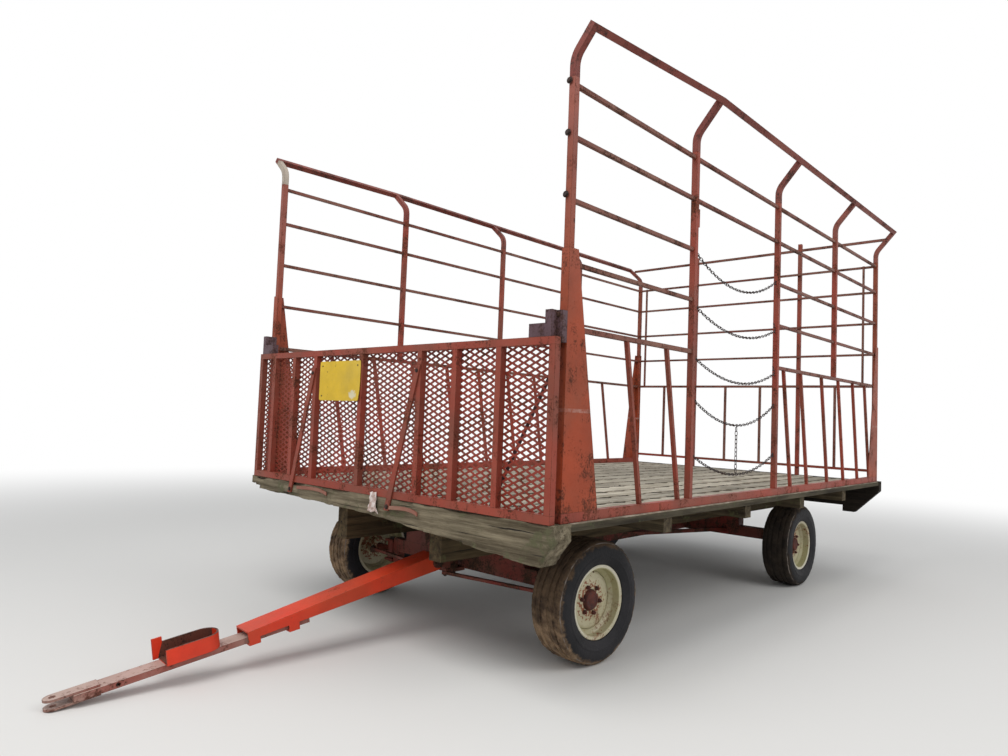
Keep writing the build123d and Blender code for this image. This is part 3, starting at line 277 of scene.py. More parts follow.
def dress(material, *nodes):
    """Gives carried-over pieces their finish."""
    for node in nodes:
        mesh = frame["nodes"][node].data
        mesh.materials.clear()
        mesh.materials.append(material)


gear_steel = painted_steel("gear_steel", (122, 42, 32), (112, 62, 50), (88, 60, 44), (50, 38, 30), 0.55, 0.8)
dress(gear_steel, "front_axle", "rear_axle", "reach_pole", "hounds", "bolsters", "bolster_stakes",
      "steering_yoke", "knuckle_left", "knuckle_right", "tie_rod_left", "tie_rod_right")


# The wheels: pressed steel rims in old cream paint with a dished disc, a hub cap and six bolts, and ribbed
# implement tyres, bluish black on the walls and caked with dried mud round the tread.

def take_up(*pieces):
    """Selects these pieces alone, the first of them active."""
    bpy.ops.object.select_all(action='DESELECT')
    for piece in pieces:
        piece.select_set(True)
    bpy.context.view_layer.objects.active = pieces[0]


@contextmanager
def editing(piece, selection='SELECT'):
    """Edit mode for one piece, with all of it selected, or nothing, or what was picked before."""
    take_up(piece)
    bpy.ops.object.mode_set(mode='EDIT')
    if selection != 'PICKED':
        bpy.ops.mesh.select_all(action=selection)
    yield
    bpy.ops.object.mode_set(mode='OBJECT')


def joined(name, pieces):
    """Joins pieces into the first of them."""
    take_up(*pieces)
    if len(pieces) > 1:
        bpy.ops.object.join()
    pieces[0].name = name
    return pieces[0]


def copied(source, name, matrices=(Matrix(),)):
    """Copies a finished piece to several places, each copy with its own mesh, and joins them."""
    copies = []
    for matrix in matrices:
        piece = source.copy()
        piece.data = source.data.copy()
        piece.data.transform(matrix)
        scene.collection.objects.link(piece)
        copies.append(piece)
    return joined(name, copies)


def turned(degrees, axis):
    """A turn about an axis, by so many degrees."""
    return Matrix.Rotation(math.radians(degrees), 4, axis)


def discard(*pieces):
    """Takes away what was only there to be copied."""
    for piece in pieces:
        bpy.data.objects.remove(piece)


def finished(piece, material, body, slot, *nodes):
    """Gives a new piece its finish and its body, and hides what it stands for; slot is not used."""
    piece.data.materials.clear()
    piece.data.materials.append(material)
    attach(piece, body)
    if nodes:
        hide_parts(*nodes)


def turned_piece(name, profile, segments, closed=False):
    """Draws a round piece ring by ring: each profile point is a radius and a place along the axle, in mm."""
    rings = [(radius / 1000, across / 1000) for radius, across in profile]
    piece = added(name, bpy.ops.mesh.primitive_circle_add, vertices=segments, radius=rings[0][0],
                  location=(0, rings[0][1], 0), rotation=(math.pi / 2, 0, 0))
    steps = zip(rings, rings[1:] + rings[:1] if closed else rings[1:])
    with editing(piece):
        for (last_radius, last_across), (radius, across) in steps:
            bpy.ops.mesh.extrude_edges_move(TRANSFORM_OT_translate={"value": (0, across - last_across, 0)})
            ratio = radius / last_radius
            bpy.ops.transform.resize(value=(ratio, 1, ratio), center_override=(0, across, 0))
        if not closed:
            bpy.ops.mesh.merge(type='CENTER')
        bpy.ops.mesh.select_all(action='SELECT')
        bpy.ops.mesh.remove_doubles(threshold=0.00005)
        bpy.ops.mesh.normals_make_consistent(inside=False)
    bpy.ops.object.shade_smooth_by_angle(angle=math.radians(32))
    return piece


TREAD = 0.346
SHOULDER = 0.300
NOTCHES = 44
HALF_TYRE = [
    # from the outer bead over the tread to its middle; the inner half mirrors it
    (192, 84), (207.5, 91), (210, 103), (222, 110), (240, 116.5), (252, 119), (255, 121), (262, 121.5),
    (265, 120), (280, 121.5), (298, 120.5), (312, 117), (322, 113), (330, 107), (337, 101), (342, 95),
    (344.5, 84), (344.5, 72), (337, 69), (336, 60), (344.8, 57), (345.6, 40), (345.6, 34), (337, 31),
    (337, 22), (345.8, 19), (346, 6),
]
TYRE_LINING = [(226, -94), (262, -102), (318, -78), (318, 78), (262, 102), (226, 94)]
mirrored = [(radius, -across) for radius, across in reversed(HALF_TYRE)]
tyre = turned_piece("tyre", HALF_TYRE + mirrored + TYRE_LINING, 168, closed=True)
for vertex in tyre.data.vertices:
    across, reach = vertex.co.y, Vector((vertex.co.x, 0, vertex.co.z))
    radius = reach.length
    if radius > SHOULDER:
        # Worn ribs and lumps of dried mud, kept inside the new tyre's outline.
        caked = min(1.0, max(0.0, noise.noise(vertex.co * 7.0) + 0.35))
        lump = noise.noise(vertex.co * 18.0) * 0.0030 + noise.noise(vertex.co * 60.0) * 0.0030
        notch = max(0.0, math.cos(math.atan2(reach.z, reach.x) * NOTCHES) - 0.55) * 0.008
        groove = max(0.0, TREAD - radius - 0.002) if abs(across) < 0.080 else 0.0
        shrink = 0.0030 - lump + (notch * (1 - caked) if 0.070 < abs(across) else 0.0) - groove * 0.75 * caked
        vertex.co -= reach.normalized() * max(radius - TREAD, shrink)
    elif radius > 0.22 and abs(across) > 0.105:
        vertex.co.y -= math.copysign(0.0008 + 0.0008 * noise.noise(vertex.co * 20.0), across)

rim = turned_piece("rim", [
    # the outer lip, round the outside over the well to the inner lip, and back along the inside
    (204, 100), (207, 98), (206.5, 95), (202, 93.5), (190, 90), (189.5, 46), (186, 42), (171, 33), (168, 29),
    (168, -29), (171, -33), (186, -42), (189.5, -46), (190, -90), (202, -93.5), (206.5, -95), (207, -98),
    (204, -100), (199, -98.5), (186, -94), (184.5, -50), (181, -46), (166, -37), (162.5, -31), (162.5, 31),
    (166, 37), (181, 46), (184.5, 50), (186, 94), (199, 98.5),
], 128, closed=True)
disc = turned_piece("disc", [
    # the dished disc's face, from its rolled edge in the well to its middle
    (162.2, 4), (162.2, 24), (159, 30), (152, 33.5), (144, 34), (128, 31), (112, 30.5), (104, 33), (98, 35),
    (62, 35), (60, 33), (58, 26), (30, 26),
], 128)
disc_back = turned_piece("disc_back", [
    (162.2, 4), (158, 4), (150, 25), (142, 27), (56, 27), (56, -60), (26, -60), (26, 20),
], 64)
hub_cap = turned_piece("hub_cap", [
    (59, 30), (57, 37), (54, 47), (49, 53), (38, 55.5), (34, 53), (20, 54), (12, 55.5), (4, 55.5),
], 48)
LUGS = 6
LUG_CIRCLE = 0.078
lug = added("lug", bpy.ops.mesh.primitive_cylinder_add, vertices=6, radius=0.0125, depth=0.012,
            location=(0, 0.041, 0), rotation=(math.pi / 2, 0, 0))
with editing(lug, 'DESELECT'):
    bpy.ops.mesh.select_mode(type='VERT')
for face in lug.data.polygons:
    face.select = face.normal.y > 0.9
with editing(lug, 'PICKED'):
    bpy.ops.mesh.inset(thickness=0.004, depth=0.001)
    bpy.ops.mesh.extrude_region_move(TRANSFORM_OT_translate={"value": (0, 0.006, 0)})
    bpy.ops.mesh.inset(thickness=0.0012, depth=0.0008)
lug_ring = copied(lug, "lug_ring", [turned(360 / LUGS * n + 12, 'Y') @ Matrix.Translation((0, 0, LUG_CIRCLE))
                                    for n in range(LUGS)])
valve = added("valve", bpy.ops.mesh.primitive_cylinder_add, vertices=12, radius=0.0045, depth=0.040,
              location=(0, 0.056, 0.172), rotation=(math.pi / 2 - 0.25, 0, 0))


def wheel_place(tree):
    """Where a point lies on its own wheel, whichever way that has turned."""
    return put(tree, "ShaderNodeAttribute", attribute_name="wheel_place").outputs["Vector"]


def from_axle(tree, place):
    """How far a point is from the wheel's axle."""
    return vector_maths(tree, 'LENGTH', vector_maths(tree, 'MULTIPLY', place, (1, 0, 1)))


# Dried mud: lies thick on the tread, thins out over the shoulder and is splashed on the wall.
tree, given, made = effect_group("dried_mud", ("Clean", "Mud", "Dark mud"), ("Start", "Full"),
                                 ("Cover", "Height"))
place = given["Vector"]
cover = spread(tree, from_axle(tree, place), given["Start"], given["Full"], even=True)
blotch = noise_of(tree, place, 16.0, 4.0, 0.55)
crumbs = noise_of(tree, place, 70.0, 6.0, 0.7, 0.3, 0.7)
mask = spread(tree, sum_of(tree, (cover, 0.80), (blotch, 0.80), (crumbs, 0.12), (1.0, -0.46)), 0.28, 0.62)
mud = mixed(tree, noise_of(tree, place, 9.0, 8.0, 0.7, 0.35, 0.65), given["Mud"], given["Dark mud"])
mud = shaded(tree, 0.5, mud, crumbs, (0.5, 0.5, 0.5), (1.35, 1.3, 1.25))
fill(tree, made, {"Color": mixed(tree, mask, given["Clean"], mud), "Cover": mask,
                  "Height": sum_of(tree, (mask, 0.5), (crumbs, 0.35), (blotch, 0.4))})


def muddy_rubber(name, low_mud, high_mud, dark_mud):
    """Old tyre rubber with dried mud, which lies lighter on that side of the wheel that stood in it last."""
    material, tree = blank_material(name)
    place = wheel_place(tree)
    film = mixed(tree, noise_of(tree, place, 5.0, 6.0, 0.6, 0.3, 0.7), seen(19, 19, 22), seen(39, 37, 40))
    height = put(tree, "ShaderNodeSeparateXYZ", {0: place}).outputs["Z"]
    stood_in = mixed(tree, spread(tree, height, 0.22, -0.22), seen(*high_mud), seen(*low_mud))
    mud = effect(tree, "dried_mud", {"Vector": place, "Clean": film, "Mud": stood_in,
                                     "Dark mud": seen(*dark_mud), "Start": 0.290, "Full": 0.340}).outputs
    # A thin pale line where the wall meets the shoulder, rubbed by the ground.
    line = maths(tree, 'COMPARE', from_axle(tree, place), 0.3285, 0.0022)
    rubbed = maths(tree, 'MULTIPLY', line, noise_of(tree, place, 11.0, 4.0, 0.6, 0.40, 0.65))
    coat(tree, mixed(tree, rubbed, mud["Color"], seen(136, 126, 118)),
         sum_of(tree, (mud["Cover"], 0.32), (1.0, 0.62)), 0.25,
         Height=mud["Height"], Distance=0.004, Strength=0.8)
    return material


tyre_rubber = muddy_rubber("tyre_rubber", (158, 132, 104), (96, 78, 60), (66, 52, 41))
# The rear tyres take a darker copy of the tyre finish: painted shade for the shadow they stand in under the
# deck.
painted_shade_rubber = muddy_rubber("painted_shade_rubber", (86, 72, 58), (58, 50, 42), (34, 29, 26))

rim_paint, tree = blank_material("rim_paint")
place = wheel_place(tree)
radius = from_axle(tree, place)
barrel = spread(tree, radius, 0.158, 0.165, even=True)
lip = spread(tree, radius, 0.188, 0.194, even=True)
paint = mixed(tree, lip, mixed(tree, barrel, seen(206, 200, 168), seen(176, 172, 128)), seen(222, 218, 198))
flakes = effect(tree, "flaked_paint", {
    "Vector": place, "Paint": paint, "Faded": seen(178, 170, 138), "Rust": seen(150, 88, 52),
    "Dark rust": seen(92, 56, 38), "Rusting": 0.10, "Edge wear": 0.15}).outputs
near_bolts = spread(tree, radius, 0.135, 0.085, even=True)
spots = sum_of(tree, (noise_of(tree, place, 62.0, 3.0, 0.55), 0.9), (near_bolts, 0.24))
spots = spread(tree, spots, 0.60, 0.74)
coat(tree, mixed(tree, spots, flakes["Color"], seen(134, 80, 52)),
     sum_of(tree, (flakes["Roughness"], 0.8), (spots, 0.25)),
     Height=flakes["Height"], Distance=0.0010, Strength=0.6)

hub_steel, tree = blank_material("hub_steel")
place = wheel_place(tree)
coat(tree, mixed(tree, noise_of(tree, place, 30.0, 8.0, 0.7, 0.3, 0.7), seen(56, 28, 25), seen(98, 48, 36)),
     noise_of(tree, place, 60.0, 4.0, 0.6, -0.8, 0.9),
     Height=noise_of(tree, place, 90.0, 5.0), Distance=0.001, Strength=0.7)

# The wagon is parked with its tongue and front wheels this many degrees off straight.
PARKED = 4.05
for corner, facing, steer, spin, rubber in (
    # facing out from the wagon, steered, and turned on its axle by these degrees
    ("front_left", 0, -PARKED, 8, tyre_rubber),
    ("front_right", 180, -PARKED, 75, tyre_rubber),
    ("rear_left", 0, 0, 130, painted_shade_rubber),
    ("rear_right", 180, 0, 200, painted_shade_rubber),
):
    low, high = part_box("tyre_" + corner)
    matrix = Matrix.Translation((low + high) / 2) @ turned(facing + steer, 'Z') @ turned(spin, 'Y')
    for name, sources, material, slot, nodes in (
        ("tyre", (tyre,), rubber, "tyre_rubber", ("tyre_" + corner,)),
        ("wheel", (rim, disc, disc_back), rim_paint, "rim_paint", ("rim_" + corner,)),
        ("hub", (hub_cap, lug_ring, valve), hub_steel, "dark_steel", ()),
    ):
        piece = joined(name + "_of_" + corner, [copied(source, name) for source in sources])
        places = piece.data.attributes.new("wheel_place", 'FLOAT_VECTOR', 'POINT')
        places.data.foreach_set("vector", [v for vertex in piece.data.vertices for v in vertex.co])
        piece.data.transform(matrix)
        finished(piece, material, "wheel_" + corner, slot, *nodes)
discard(tyre, rim, disc, disc_back, hub_cap, lug, lug_ring, valve)


# The tongue: a wide pressed channel in bright red paint, worn along its edges. The pole that slides below it
# is rubbed to bare pinkish steel on top, and carries a bent flat bar and the hitch's two plates.

def dress_faces(piece, material, test):
    """Gives a second finish to those faces of a piece whose middle and normal pass a test."""
    piece.data.materials.append(material)
    number = len(piece.data.materials) - 1
    for face in piece.data.polygons:
        if test(face.center, face.normal):
            face.material_index = number


tongue_paint = painted_steel("tongue_paint", (226, 58, 26), (212, 72, 38), (176, 96, 66), (112, 52, 36),
                             0.10, 0.7, gloss=0.4)
pole_paint = painted_steel("pole_paint", (150, 84, 74), (178, 146, 134), (118, 70, 56), (76, 48, 40),
                           0.34, 0.9)
# The inside of the pole strap takes a dark brown: painted shade in its hollow.
strap_inside_shade = painted_steel("strap_inside_shade", (104, 62, 50), (84, 54, 44), (92, 60, 46), (48, 34, 30),
                             0.5, 0.3, bump=0.003)
pole_top = painted_steel("pole_top", (182, 150, 140), (196, 172, 160), (142, 92, 76), (84, 54, 46),
                         0.28, 0.9)
dress(tongue_paint, "tongue", "pole_strap")
dress(pole_paint, "front_pole")
dress_faces(frame["nodes"]["front_pole"], pole_top, lambda middle, normal: normal.z > 0.9)
strap_middle = sum(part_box("pole_strap"), Vector()) / 2
aside = Vector((math.sin(math.radians(PARKED)), math.cos(math.radians(PARKED)), 0))
# The inside of the strap's far wall and its upward faces, all but its front end, take that painted shade.
dress_faces(frame["nodes"]["pole_strap"], strap_inside_shade, lambda middle, normal:
            middle.x < strap_middle.x + 0.10
            and (normal.dot(aside) > 0.5 and (middle - strap_middle).dot(aside) < 0 or normal.z > 0.9))


# The timber frame: two sills on the running gear, square cross joists and planks laid lengthwise, all rough
# sawn softwood gone grey in the weather, with moss on the ends and the shaded faces. Painted shade darkens the
# planks' sides and undersides, the walls of the rotted slots and the rear header.

# Weathered timber: long grain, fine fibres, splits, and moss where it stays damp. The grain runs along X.
tree, given, made = effect_group("weathered_timber", ("Light", "Dark", "Moss"), ("Mossy", "Board"),
                                 ("Height",))
shift = maths(tree, 'MULTIPLY', given["Board"], 7.3)
apart = put(tree, "ShaderNodeCombineXYZ", {"X": shift, "Y": shift, "Z": shift}).outputs[0]
place = vector_maths(tree, 'ADD', given["Vector"], apart)
grain = noise_of(tree, stretched(tree, place, (1.3, 26, 26)), 1.0, 8.0, 0.65, 0.3, 0.7)
fibre = noise_of(tree, stretched(tree, place, (6, 190, 190)), 1.0, 4.0, 0.6, 0.25, 0.75)
split = noise_of(tree, stretched(tree, place, (1.6, 60, 60)), 1.0, 3.0, 0.5, 0.63, 0.70)
stain = noise_of(tree, place, 3.4, 7.0, 0.65, 0.35, 0.70)
color = mixed(tree, grain, given["Light"], given["Dark"])
color = shaded(tree, 0.55, color, fibre, (0.62, 0.60, 0.57), (1.18, 1.18, 1.18))
color = shaded(tree, 0.6, color, stain, (1.12, 1.10, 1.08), (0.62, 0.60, 0.58))
color = mixed(tree, split, color, (0.025, 0.02, 0.016, 1))
cushion = noise_of(tree, place, 11.0, 9.0, 0.7)
moss = spread(tree, sum_of(tree, (cushion, 0.75), (stain, 0.15), (given["Mossy"], 0.45)), 0.58, 0.72)
color = mixed(tree, moss, color, given["Moss"])
shade = spread(tree, given["Board"], 0.0, 1.0, even=True, to=(0.80, 1.14))
tone = put(tree, "ShaderNodeCombineXYZ", {"X": shade, "Y": shade, "Z": shade}).outputs[0]
fill(tree, made, {"Color": mixed(tree, 1.0, color, tone, 'MULTIPLY'),
                  "Height": sum_of(tree, (grain, 0.45), (fibre, 0.25), (split, -0.9), (moss, 0.25))})


def timber(name, light, dark, moss, mossy, turn=(0, 0, 0), board_width=0.0, bump=0.004):
    """Old timber. turn lays the grain along the piece, and boards of a given width differ in tone."""
    material, tree = blank_material(name)
    place = put(tree, "ShaderNodeMapping", {"Vector": object_place(tree), "Rotation": turn}).outputs["Vector"]
    grain = effect(tree, "weathered_timber", {"Vector": place, "Light": seen(*light), "Dark": seen(*dark),
                                              "Moss": seen(*moss), "Mossy": mossy})
    color = grain.outputs["Color"]
    if board_width:
        across = put(tree, "ShaderNodeSeparateXYZ", {0: place}).outputs["Y"]
        count = maths(tree, 'DIVIDE', across, board_width)
        number = maths(tree, 'FLOOR', count)
        drawn = put(tree, "ShaderNodeTexWhiteNoise", {"W": number}, noise_dimensions='1D')
        tree.links.new(drawn.outputs["Value"], grain.inputs["Board"])
        # Damp has stained the boards along their edges.
        off_middle = maths(tree, 'ABSOLUTE', maths(tree, 'SUBTRACT', maths(tree, 'FRACT', count), 0.5))
        reach = sum_of(tree, (off_middle, 1.0), (noise_of(tree, place, 14.0, 5.0, 0.6), 0.22), (1.0, -0.11))
        damp = mixed(tree, 1.0, color, (0.34, 0.31, 0.28, 1), 'MULTIPLY')
        color = mixed(tree, spread(tree, reach, 0.34, 0.50), color, damp)
    coat(tree, color, 0.88, 0.2, Height=grain.outputs["Height"], Distance=bump, Strength=0.8)
    return material


def bevelled(piece, offset, segments, test):
    """Bevels those edges of a piece whose middle and direction pass a test."""
    with editing(piece):
        bpy.ops.mesh.select_mode(type='EDGE')
        bpy.ops.mesh.select_all(action='DESELECT')
    for edge in piece.data.edges:
        first, second = (piece.data.vertices[n].co for n in edge.vertices)
        edge.select = test((first + second) / 2, (second - first).normalized())
    with editing(piece, 'PICKED'):
        bpy.ops.mesh.bevel(offset=offset, segments=segments, affect='EDGES')


def sliced(piece, axis, places):
    """Cuts a piece right across at each place along an axis, so that it can be worn there."""
    with editing(piece):
        for place in places:
            bpy.ops.mesh.select_all(action='SELECT')
            bpy.ops.mesh.bisect(plane_co=axis * place, plane_no=axis)


def sliced_evenly(piece, axis, low, high, step):
    """Cuts a piece right across at every step from one place on an axis to another."""
    sliced(piece, axis, [low + step * n for n in range(1, int(abs((high - low) / step)) + 1)])


def worn(piece, wear):
    """Takes the surface in, at each point, by what the wear there comes to."""
    moves = [vertex.normal * wear(vertex.co, vertex.normal) for vertex in piece.data.vertices]
    for vertex, move in zip(piece.data.vertices, moves):
        vertex.co -= move


def added_block(name, low, high):
    """A block between two corners."""
    low, high = Vector(low), Vector(high)
    return added(name, bpy.ops.mesh.primitive_cube_add, scale=high - low, size=1.0, location=(low + high) / 2)


ALONG_X, ALONG_Y, ALONG_Z = Vector((1, 0, 0)), Vector((0, 1, 0)), Vector((0, 0, 1))
ACROSS = (0, 0, math.pi / 2)
MOSS = (98, 98, 66)
PLANKS = 14
PLANK_GAP = 0.008
low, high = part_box("deck_planks")
deck_top = high.z
first_y = low.y - PLANK_GAP / 2
plank_pitch = (high.y - low.y + PLANK_GAP) / PLANKS
deck_wood = timber("deck_wood", (204, 197, 181), (150, 141, 124), (146, 142, 116), 0.06,
                   board_width=plank_pitch)
# A darker, mossier timber for the planks' sides and undersides: partly moss and weathering, partly painted
# shade.
edge_moss_and_shade_wood = timber("edge_moss_and_shade_wood", (102, 95, 78), (52, 46, 36), (84, 90, 60), 0.16)
# A near black timber for the walls of the rotted slots: painted shade.
slot_shade_wood = timber("slot_shade_wood", (46, 40, 33), (24, 20, 17), MOSS, 0.0)
for name, node, light, dark, mossy, turn in (
    ("sill_wood", "sills", (112, 96, 70), (60, 50, 36), 0.22, (0, 0, 0)),
    ("joist_wood", "cross_joists", (116, 104, 82), (62, 52, 40), 0.10, ACROSS),
    # the rear header's near black timber is painted shade
    ("rear_wood", "rear_header", (58, 50, 42), (30, 25, 21), 0.04, ACROSS),
):
    dress(timber(name, light, dark, MOSS, mossy, turn), node)

# The planks have rotted from their upper edges, in hollows that follow each other along the gaps.
SLOT_STEP = 0.035
SLOT_PITCH = 6 * SLOT_STEP
SLOT_LONG = 0.115
SLOT_DEEP = 0.031
SLOT_AT_FOOT = 0.15
EDGE_WIDE = 0.03
draw = random.Random(4)
slot_starts = [low.x + SLOT_STEP * draw.choice((0, 1, 2, 3, 4, 5)) for _ in range(PLANKS + 1)]
plank = added_block("plank", (low.x, first_y + PLANK_GAP / 2, low.z),
                    (high.x, first_y + plank_pitch - PLANK_GAP / 2, high.z))
bevelled(plank, 0.005, 1, lambda middle, way: abs(way.x) > 0.9 and middle.z > high.z - 0.001)
sliced_evenly(plank, ALONG_X, low.x, high.x, SLOT_STEP)
sliced(plank, ALONG_Y, [first_y + plank_pitch * share for share in (0.22, 0.5, 0.78)])


def slot_depth(x, gap):
    """How far the rot has eaten into a plank's edge at this place along a gap."""
    if gap in (0, PLANKS):
        return 0.0
    along = (x - slot_starts[gap]) % SLOT_PITCH
    ends = min(along, SLOT_LONG - along) / 0.02
    size = 0.8 + 0.5 * noise.noise(Vector((x * 3.0, gap * 4.0, 1.0)))
    return SLOT_DEEP * size * max(0.0, min(1.0, ends))


def plank_wear(place, number):
    """Feet and bales have worn each plank in its own way."""
    wide = noise.noise(Vector((place.x * 2.2, place.y * 9.0, number * 5.0)))
    dents = max(0.0, noise.noise(Vector((place.x * 7.0, place.y * 3.0, number * 9.0 + 2.0))))
    return 0.0012 + 0.0012 * wide + 0.0022 * dents


planks = []
for number in range(PLANKS):
    board = copied(plank, "board", [Matrix.Translation((0, plank_pitch * number, 0))])
    near, far = first_y + plank_pitch * number, first_y + plank_pitch * (number + 1)
    worn(board, lambda place, normal: plank_wear(place, number))
    for vertex in board.data.vertices:
        sound = 1.0 if vertex.co.z > low.z + 0.02 else SLOT_AT_FOOT
        if vertex.co.y < near + EDGE_WIDE:
            vertex.co.y += slot_depth(vertex.co.x, number) * sound
        elif vertex.co.y > far - EDGE_WIDE:
            vertex.co.y -= slot_depth(vertex.co.x, number + 1) * sound
    planks.append(board)
worn_planks = joined("worn_planks", planks)
discard(plank)
finished(worn_planks, deck_wood, "chassis", "deck_wood", "deck_planks")
# The planks' sides and undersides take the darker timber, part moss, part painted shade.
dress_faces(worn_planks, edge_moss_and_shade_wood, lambda middle, normal: normal.z < 0.35)
# The slots' walls take the near black timber, painted shade down in the hollows.
dress_faces(worn_planks, slot_shade_wood, lambda middle, normal: -0.5 < normal.z < 0.8 and abs(normal.y) > 0.4
            and middle.z < high.z - 0.006 and abs(middle.y) < high.y - 0.02)

# Old chaff and mud, trodden into the gaps between the slots in short plugs.
plug = added_block("plug", (-0.046, -0.0055, -0.016), (0.046, 0.0055, 0.0))
sliced(plug, ALONG_X, [-0.035, -0.015, 0.01, 0.03])
worn(plug, lambda place, normal: 0.004 if abs(place.x) > 0.042 else 0.0)
places = []
for gap in range(1, PLANKS):
    x = slot_starts[gap] - (SLOT_PITCH - SLOT_LONG) / 2
    while x < high.x - 0.08:
        sunk = draw.uniform(0.0012, 0.0030)
        stretch = Matrix.Diagonal((draw.uniform(0.7, 1.15), 1.0, 1.0, 1.0))
        if x > low.x + 0.06:
            places.append(Matrix.Translation((x, first_y + gap * plank_pitch, high.z - sunk)) @ stretch)
        x += SLOT_PITCH
chaff = copied(plug, "chaff_in_the_gaps", places)
discard(plug)
chaff_dust, tree = blank_material("chaff_dust")
place = object_place(tree)
trodden = noise_of(tree, place, 40.0, 8.0, 0.7, 0.3, 0.7)
coat(tree, mixed(tree, trodden, seen(150, 138, 116), seen(96, 84, 66)), 0.95,
     Height=noise_of(tree, place, 160.0, 5.0, 0.7), Distance=0.003)
finished(chaff, chaff_dust, "chassis", "deck_wood")

# Two nails through every plank at every joist, their heads rusty and driven just under the surface.
RUST = (126, 66, 40)
DARK_RUST = (66, 36, 28)
joist_faces = sorted({round(vertex.co.x, 3) for vertex in frame["nodes"]["cross_joists"].data.vertices})
nail = added("nail", bpy.ops.mesh.primitive_cylinder_add, vertices=8, radius=0.0045, depth=0.004)
places = []
for rear, front in zip(joist_faces[::2], joist_faces[1::2]):
    for number in range(PLANKS):
        for share in (0.3, 0.7):
            y = first_y + plank_pitch * (number + share) + draw.uniform(-0.012, 0.012)
            x = (rear + front) / 2 + draw.uniform(-0.020, 0.020)
            places.append(Matrix.Translation((x, y, high.z - 0.0030)))
nails = copied(nail, "plank_nails", places)
discard(nail)
nail_rust = painted_steel("nail_rust", (92, 64, 50), (70, 52, 44), RUST, DARK_RUST, 0.5, 0.0, bump=0.0004)
finished(nails, nail_rust, "chassis", "deck_wood")

# The front header is the oldest timber: rounded and split along its edges, ragged towards the far end.
header_wood = timber("header_wood", (160, 149, 125), (86, 76, 59), (104, 102, 76), 0.22, ACROSS, bump=0.007)
front_header = bpy.data.objects.new("weathered_header", frame["nodes"]["front_header"].data.copy())
scene.collection.objects.link(front_header)
with editing(front_header):
    bpy.ops.mesh.remove_doubles(threshold=0.00005)
    bpy.ops.mesh.dissolve_limited(angle_limit=0.02)
low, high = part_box("front_header")
sliced_evenly(front_header, ALONG_Y, low.y, high.y, 0.022)
sliced(front_header, ALONG_Z, [high.z - 0.021 * n for n in range(1, 10)])
sliced(front_header, ALONG_X, [high.x - 0.02, high.x - 0.06, low.x + 0.03])


def header_wear(place, normal):
    """Deeper on the edges and towards the far end."""
    edge = 1.0 - max(abs(normal.x), abs(normal.y), abs(normal.z))
    far_end = 1.0 + 0.9 * max(0.0, -place.y)
    ragged = max(0.0, noise.noise(Vector((3.1, place.y * 8.0, place.z * 4.0))) + 0.15) * 0.060 * far_end
    split = max(0.0, noise.noise(Vector((7.0, place.y * 2.0, place.z * 60.0))) - 0.15) * 0.012
    fine = (noise.noise(place * 26.0) + 0.6) * 0.0022
    return fine + split + edge * ragged


worn(front_header, header_wear)
bpy.ops.object.shade_smooth_by_angle(angle=math.radians(40))
finished(front_header, header_wood, "chassis", "header_wood", "front_header")


# The rack: square tube posts, rails and leaning bars, welded together and brush painted red, now chalky and
# rusting. The corner posts are folded from sheet and stand in brighter paint.

CORNER_RED = (166, 70, 38)
RUBBED_AT = 1.405
rack_paint = painted_steel("rack_paint", (154, 67, 51), (131, 74, 59), RUST, DARK_RUST, 0.32, 0.75)
rail_paint = painted_steel("rail_paint", (120, 66, 54), (128, 88, 74), (104, 64, 48), (62, 42, 36), 0.40, 0.5)
corner_paint = painted_steel("corner_paint", CORNER_RED, (140, 70, 46), (124, 64, 42), (82, 44, 32),
                             0.34, 0.8)
# The posts' upper halves have gone dull and pinkish, and something has rubbed a pale band on them lower down.
tree = corner_paint.node_tree
place = object_place(tree)
height = put(tree, "ShaderNodeSeparateXYZ", {0: place}).outputs["Z"]
band = maths(tree, 'MULTIPLY', maths(tree, 'COMPARE', height, RUBBED_AT, 0.009),
             noise_of(tree, place, 40.0, 4.0, 0.6, 0.35, 0.55))
paint = mixed(tree, spread(tree, height, 1.75, 2.55), seen(*CORNER_RED), seen(146, 84, 72))
fill(tree, tree.nodes["flaked_paint"].inputs, {
    "Paint": mixed(tree, band, paint, seen(196, 150, 138)),
    "Rusting": spread(tree, height, 1.25, 0.92, even=True, to=(0.34, 0.46)),
})
top_paint = painted_steel("top_paint", (118, 54, 46), (136, 76, 64), (96, 60, 50), (60, 42, 38), 0.40, 0.6)
dress(rack_paint, "rack_bottom_rails", "side_posts", "side_bars", "rear_posts", "gate_rails", "gate_bars",
      "gate_braces")
dress(rail_paint, "side_rails", "rear_rails", "rear_bars")
dress(corner_paint, "corner_post_front_left", "corner_post_front_right", "corner_post_rear_left",
      "corner_post_rear_right")
dress(top_paint, "top_rails", "post_tops")
# One bend was put in new and never painted: the foremost on the right.
bare_bend = painted_steel("bare_bend", (164, 152, 138), (182, 172, 158), (126, 96, 76), (84, 62, 52),
                          0.30, 0.6)
dress_faces(frame["nodes"]["post_tops"], bare_bend, lambda middle, normal: middle.y < 0 and middle.x > 1.6)


# The front gate's wire: one sheet of expanded metal, cut and pulled into diamonds, tacked to the back of the
# bars and pushed in a little by the load.

